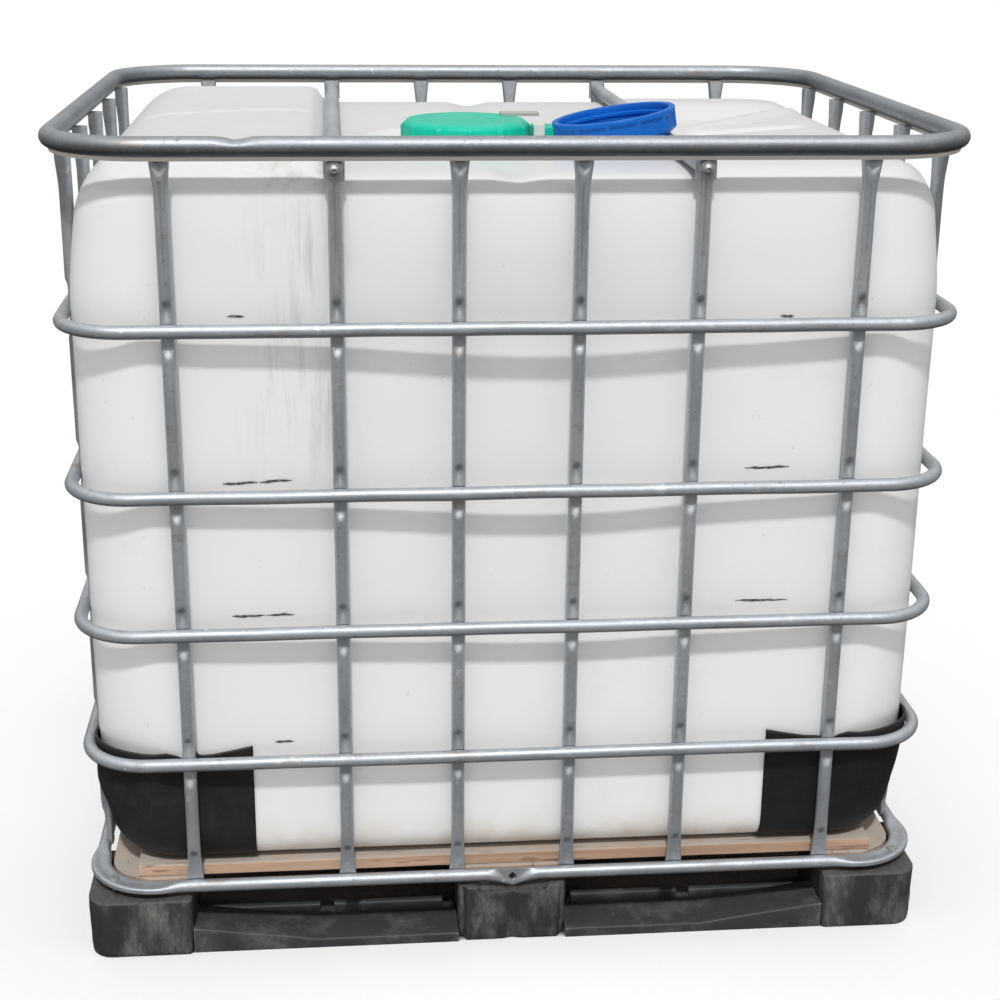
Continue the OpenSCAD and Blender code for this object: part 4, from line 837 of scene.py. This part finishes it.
def runner(name, face, size):
    # tread with a rolled front edge that climbs to the corner foot, base plate behind, broken rib at the back
    level = np.linspace(size["inner"] + 1.5, size["riseFrom"] - 6, 16)
    slope = np.linspace(size["riseFrom"], size["outer"] - 1.5, 18)
    x = np.concatenate([[size["inner"] + 0.2], level, slope, [size["outer"] - 0.2]])[:, None]
    climb = np.clip((x - size["riseFrom"]) / (size["outer"] - size["riseFrom"]), 0, 1)
    top = size["low"] + (size["rise"] - size["low"]) * climb
    t, d = size["tread"], size["deep"]
    y = np.array([[0.8, 0.2, 0, 0, 0.3, 1.2, 3, 20, 45, t - 3, t - 0.8, t, t, t + 1, d - 13, d - 1, d, d, d - 1, 45]])
    share = np.array([[0, 0, 0, 1, 1, 1, 1, 1, 1, 1, 1, 1, 0, 0, 0, 0, 0, 0, 0, 0]])  # 1 where the tread climbs
    rest = np.array([[0, 0.3, 1.2, -3, -1.2, -0.3, 0, -0.8, -0.5, 0, -0.8, -2.5, 6.5, 5, 5, 5, 4.5, 0.8, 0, 0]])
    z = np.maximum(top * share + rest, 0)
    wear = size["wear"] * ripple(stack(x, y, z), 60, 9)
    z = z + np.where(share > 0, np.minimum(wear, 0.3), 0)
    start = -d / 2 if face == 0 else size["front"]
    flip = -1 if face > 0 else 1  # the rear one faces back
    back = sorted((flip * (start + d - size["rib"]), flip * (start + d)))
    pieces = []
    bay = size["outer"] - size["inner"]
    for side in (-1, 1):
        pieces.append(surface(stack(x * side, (y + start) * flip, z), False, True, (0, -1)))
        for half in (0, 1):
            x0 = size["inner"] + 18 + half * (bay / 2 - 8)
            ends = sorted((side * x0, side * (x0 + bay / 2 - 28)))
            pieces.append(bar((ends[0], back[0], 1), (ends[1], back[1], size["ribTop"]), 0, 2.5, 16, 2))
    makePiece(f"{name}_tread", pieces, treadBlack, stands=(name,))


def warped(seed, bow, rough):
    # slow bow over the length and rough sawn faces
    def bend(at):
        lift = rough * ripple(at * [1, 2, 2], 170, seed + 50) - bow
        return at + stack(0 * at[..., 0], rough * ripple(at, 120, seed), lift)
    return bend


beamSize = {"low": 86.2, "high": 103, "half": 461.5, "cornerX": 500, "cornerY": 400, "cornerRound": 62,
            "ends": {"left": (-562.5, -447), "centre": (-76, 76), "right": (447, 562.5)}}


def stringer(word, size):
    # beam from front to back, cut round where it meets the base ring's corners
    def cut(at):
        at = warped(len(word), 0.05, 0.2)(at)
        past = np.maximum(np.abs(at[..., 1]) - size["cornerY"], 0)
        limit = size["cornerX"] + np.sqrt(np.maximum(size["cornerRound"] ** 2 - past ** 2, 0))
        at[..., 0] = np.clip(at[..., 0], -limit, limit)
        return at
    x0, x1 = size["ends"][word]
    beam = bar((x0, -size["half"], size["low"]), (x1, size["half"], size["high"]), 1, 1.8, 60, 1.5, cut, 6)
    makePiece(f"stringer_{word}_beam", [beam], beamWood, stands=(f"stringer_{word}",), crease=60)


deckSize = {"low": 103.2, "high": 120.95, "half": 522, "front": -455, "wide": 150, "pitch": 190, "boards": 5}


def deckBoard(k, size):
    # plank along the front, its place counted from the front edge
    y = size["front"] + k * size["pitch"]
    low, high = (-size["half"], y, size["low"]), (size["half"], y + size["wide"], size["high"])
    plank = bar(low, high, 0, 1.8, 70, 1.5, warped(60 + k, 0.1, 0.28), 8)
    makePiece(f"deck_board_{k + 1}_plank", [plank], boardWood, stands=(f"deck_board_{k + 1}",), crease=60)


for sx, wordX in ((-1, "left"), (0, "centre"), (1, "right")):
    for sy, wordY in ((-1, "front"), (0, "middle"), (1, "rear")):
        foot(f"foot_{wordY}_{wordX}", sx, sy, footSize)
for face, word in ((-1, "front"), (0, "middle"), (1, "rear")):
    runner(f"runner_{word}", face, runnerSize)
for k in range(deckSize["boards"]):
    deckBoard(k, deckSize)
for word in beamSize["ends"]:
    stringer(word, beamSize)
print("pallet made")


def screwCap(size):
    # profile turned about the cap's axis; the skirt swells at each grip rib; outer face at z = 0
    s, i, h = size["skirt"], size["inside"], size["high"]
    rim, ring, ridge = s + size["rib"], i - 10.3, i - size["ridge"]
    r = [0, 20, 40, 52, 56, 58, 62, 70, s - 8.5, s - 6.5, s - 3.2, s - 1, s - 0.2, s, s, s, s, s, s + 0.4, s + 2,
         rim - 0.2, rim, rim, rim - 0.8, rim - 2.5, i + 3.7, i + 1.7, i + 0.7, i + 0.1, i, i, ridge, ridge, i, i, i,
         i - 0.8, i - 3.3, ring + 1.5, ring + 0.3, ring, ring - 0.1, ring - 0.8, ring - 1.8, ring - 2.4, ring - 2.5,
         ring - 2.8, 58, 40, 20, 0]
    z = [0.9, 0.9, 0.9, 0.85, 0.5, 0.1, 0, 0, 0, 0.6, 3.4, 5.8, 7.4, 9, 12, 16, 21, 26, 28.2, 28.9,
         29.4, 30.6, 34.6, 35.6, h, h, h, 35.7, 34.8, 30, 26.4, 25, 21.6, 20.2, 16, 7,
         5.6, 5, 5, 5.6, 7, 13, 13.9, 13.9, 13, 6.5, 5.2, 5, 5, 5, 5]
    outside = np.arange(len(r))[:, None] < 24
    r, z = np.array(r)[:, None], np.array(z)[:, None]
    turn = np.linspace(0, 2 * np.pi, 288, endpoint=False)[None]
    beat = turn * size["ribs"] / (2 * np.pi) - size["phase"]
    away = (beat - np.round(beat)) * 2 * np.pi * s / size["ribs"]
    rib = np.exp(-(away / 3.2) ** 4) * ramp((z - 4) / 5) * ((r > s - 2) & outside)
    r = np.minimum(r + size["rib"] * rib, np.maximum(r, rim))
    return stack(r * np.cos(turn), r * np.sin(turn), z + 0 * turn)


capSize = {"x": -42, "y": -100, "top": 1105, "high": 36, "skirt": 90, "inside": 84.3, "rib": 3, "ribs": 12,
           "phase": 0, "ridge": 0}


def fillCap(size):
    # mouth down on the neck
    at = screwCap(size)
    turned = stack(at[..., 0] + size["x"], at[..., 1] + size["y"], size["top"] - at[..., 2])
    makePiece("fill_cap_screw", [surface(turned, False, True)], capGreen,
              "fill_cap", ("fill_cap",), crease=55)


spareSize = {"x": 87, "y": -200, "z": 1076.4, "leanAt": (231, 1088), "leanRadius": 11.4, "chamfer": 8, "high": 36,
             "skirt": 82.5, "inside": 76.8, "rib": 3, "ribs": 12, "phase": 0.5, "ridge": 2.2}


def spareCap(size):
    # the same profile, mouth up, leaning on the right cross bar
    at = screwCap(size)
    run, rise = size["leanAt"][0] - size["x"], size["leanAt"][1] - size["z"]
    tilt = math.atan2(rise, run) + math.asin(size["leanRadius"] / math.hypot(run, rise))
    c, s = math.cos(tilt), math.sin(tilt)
    x, y, z = at[..., 0] + size["skirt"] - size["chamfer"], at[..., 1], at[..., 2]
    leaning = stack(size["x"] + c * x - s * z, size["y"] + y, size["z"] + s * x + c * z)
    makePiece("spare_cap_screw", [surface(leaning, False, True)], capBlue,
              "spare_cap", ("spare_cap",), crease=55)


sealSize = {"low": (51.9, -117, 1066.2), "high": (95.9, -83, 1096.2), "uneven": 0.6}


def seal(size):
    # moulded clip beside the cap, a little uneven
    def warp(at):
        level = ramp((size["high"][2] - at[..., 2:]) / 4)
        return at + size["uneven"] * ripple(at, 17, 4)[..., None] * [0.6, 1, 0] * level
    clip = bar(size["low"], size["high"], 2, 5, 10, 4, warp)
    makePiece("seal_clip_block", [clip], capGreen, stands=("seal_clip",))


fillCap(capSize)
spareCap(spareSize)
seal(sealSize)
print("caps and seal made")


nodeFinish = {"valve_disc": discGrey, "union_nut": valveBlack, "valve_body": valveBlack, "outlet_cap": valveBlack}
for entry in frame["record"]["subparts"]:
    node = cadNodes[entry["node"]]
    node.data.materials.clear()
    node.data.materials.append(nodeFinish.get(entry["node"], slotFinish[entry["material_slot"]]))
print("finishes on CAD nodes set")


stageSize = {"floorHalf": 60, "sunTo": (-0.05, -0.565, 0.825), "sunPower": 2.15, "sunSoft": 4.2, "sky": 0.49,
             "under": 0.25, "lit": (0.86, 0.86, 0.86), "seen": (0.97, 0.97, 0.97), "below": (0.011, 0.0105, 0.01),
             "mirrored": (0.07, 0.065, 0.06, 1)}


def stage(size):
    # pale floor with painted shade under the object, darker where the object hides the sky; a plain sky and one soft
    # sun
    finish, tree, shader = newFinish("pale_floor", Roughness=1.0)
    seen = put(tree, "LightPath").outputs["Is Camera Ray"]
    clear = put(tree, "AmbientOcclusion", {"Distance": size["under"]}, samples=12).outputs["AO"]
    pale = tint(tree, seen, size["lit"], size["seen"])
    # painted shadow: the floor colour goes to near black where the object stands close above it
    ground = tint(tree, between(tree, clear, 0.12, 0.46), size["below"], pale)
    tree.links.new(ground, shader.inputs["Base Color"])
    dim = put(tree, "BsdfDiffuse", {"Color": size["mirrored"]})  # what polished parts see below them
    polished = put(tree, "LightPath").outputs["Is Glossy Ray"]
    mix = put(tree, "MixShader", {0: polished, 1: shader.outputs[0], 2: dim.outputs[0]})
    tree.links.new(mix.outputs[0], tree.nodes["Material Output"].inputs[0])
    h = size["floorHalf"]
    mesh = bpy.data.meshes.new("floor")
    mesh.from_pydata([(-h, -h, 0), (h, -h, 0), (h, h, 0), (-h, h, 0)], [], [(0, 1, 2, 3)])
    mesh.materials.append(finish)
    floor = bpy.data.objects.new("floor", mesh)
    bpy.context.scene.collection.objects.link(floor)
    world = bpy.data.worlds.new("studio")
    bpy.context.scene.world = world
    world.use_nodes = True
    tree = world.node_tree
    tree.nodes.clear()
    path = put(tree, "LightPath")
    rise = put(tree, "SeparateXYZ", {0: put(tree, "TexCoord").outputs["Generated"]}).outputs[2]
    shiny = path.outputs["Is Glossy Ray"]
    polished = times(tree, shiny, between(tree, rise, 0.02, 0.85, 0.22, 1.25))
    plain = times(tree, maths(tree, "SUBTRACT", 1.0, shiny), size["sky"])
    power = maths(tree, "MAXIMUM", path.outputs["Is Camera Ray"], maths(tree, "ADD", polished, plain))
    sky = put(tree, "Background", {"Color": (1, 1, 1, 1), "Strength": power})
    tree.links.new(sky.outputs[0], put(tree, "OutputWorld").inputs[0])
    lamp = bpy.data.lights.new("key", "SUN")
    lamp.energy, lamp.angle = size["sunPower"], math.radians(size["sunSoft"])
    key = bpy.data.objects.new("key", lamp)
    key.rotation_euler = Vector(size["sunTo"]).to_track_quat("Z", "Y").to_euler()
    bpy.context.scene.collection.objects.link(key)


cameraSize = {"place": (-0.232581, -2.663425, 1.400603), "right": (0.995703, -0.092056, 0.010103),
              "up": (0.020013, 0.320405, 0.947069), "ahead": (0.090421, 0.942797, -0.320871), "lens": 63.703}


def camera(size):
    # the fitted view: three axes and a place make its matrix
    data = bpy.data.cameras.new("camera")
    data.sensor_width, data.lens = 36, size["lens"]
    data.clip_start, data.clip_end = 0.05, 200
    view = bpy.data.objects.new("camera", data)
    columns = (size["right"], size["up"], [-v for v in size["ahead"]], size["place"])
    view.matrix_world = Matrix([[column[row] for column in columns] for row in range(3)] + [[0, 0, 0, 1]])
    bpy.context.scene.collection.objects.link(view)
    bpy.context.scene.camera = view


stage(stageSize)
camera(cameraSize)
bpy.context.scene.view_settings.view_transform = "Standard"
print("stage and camera set")
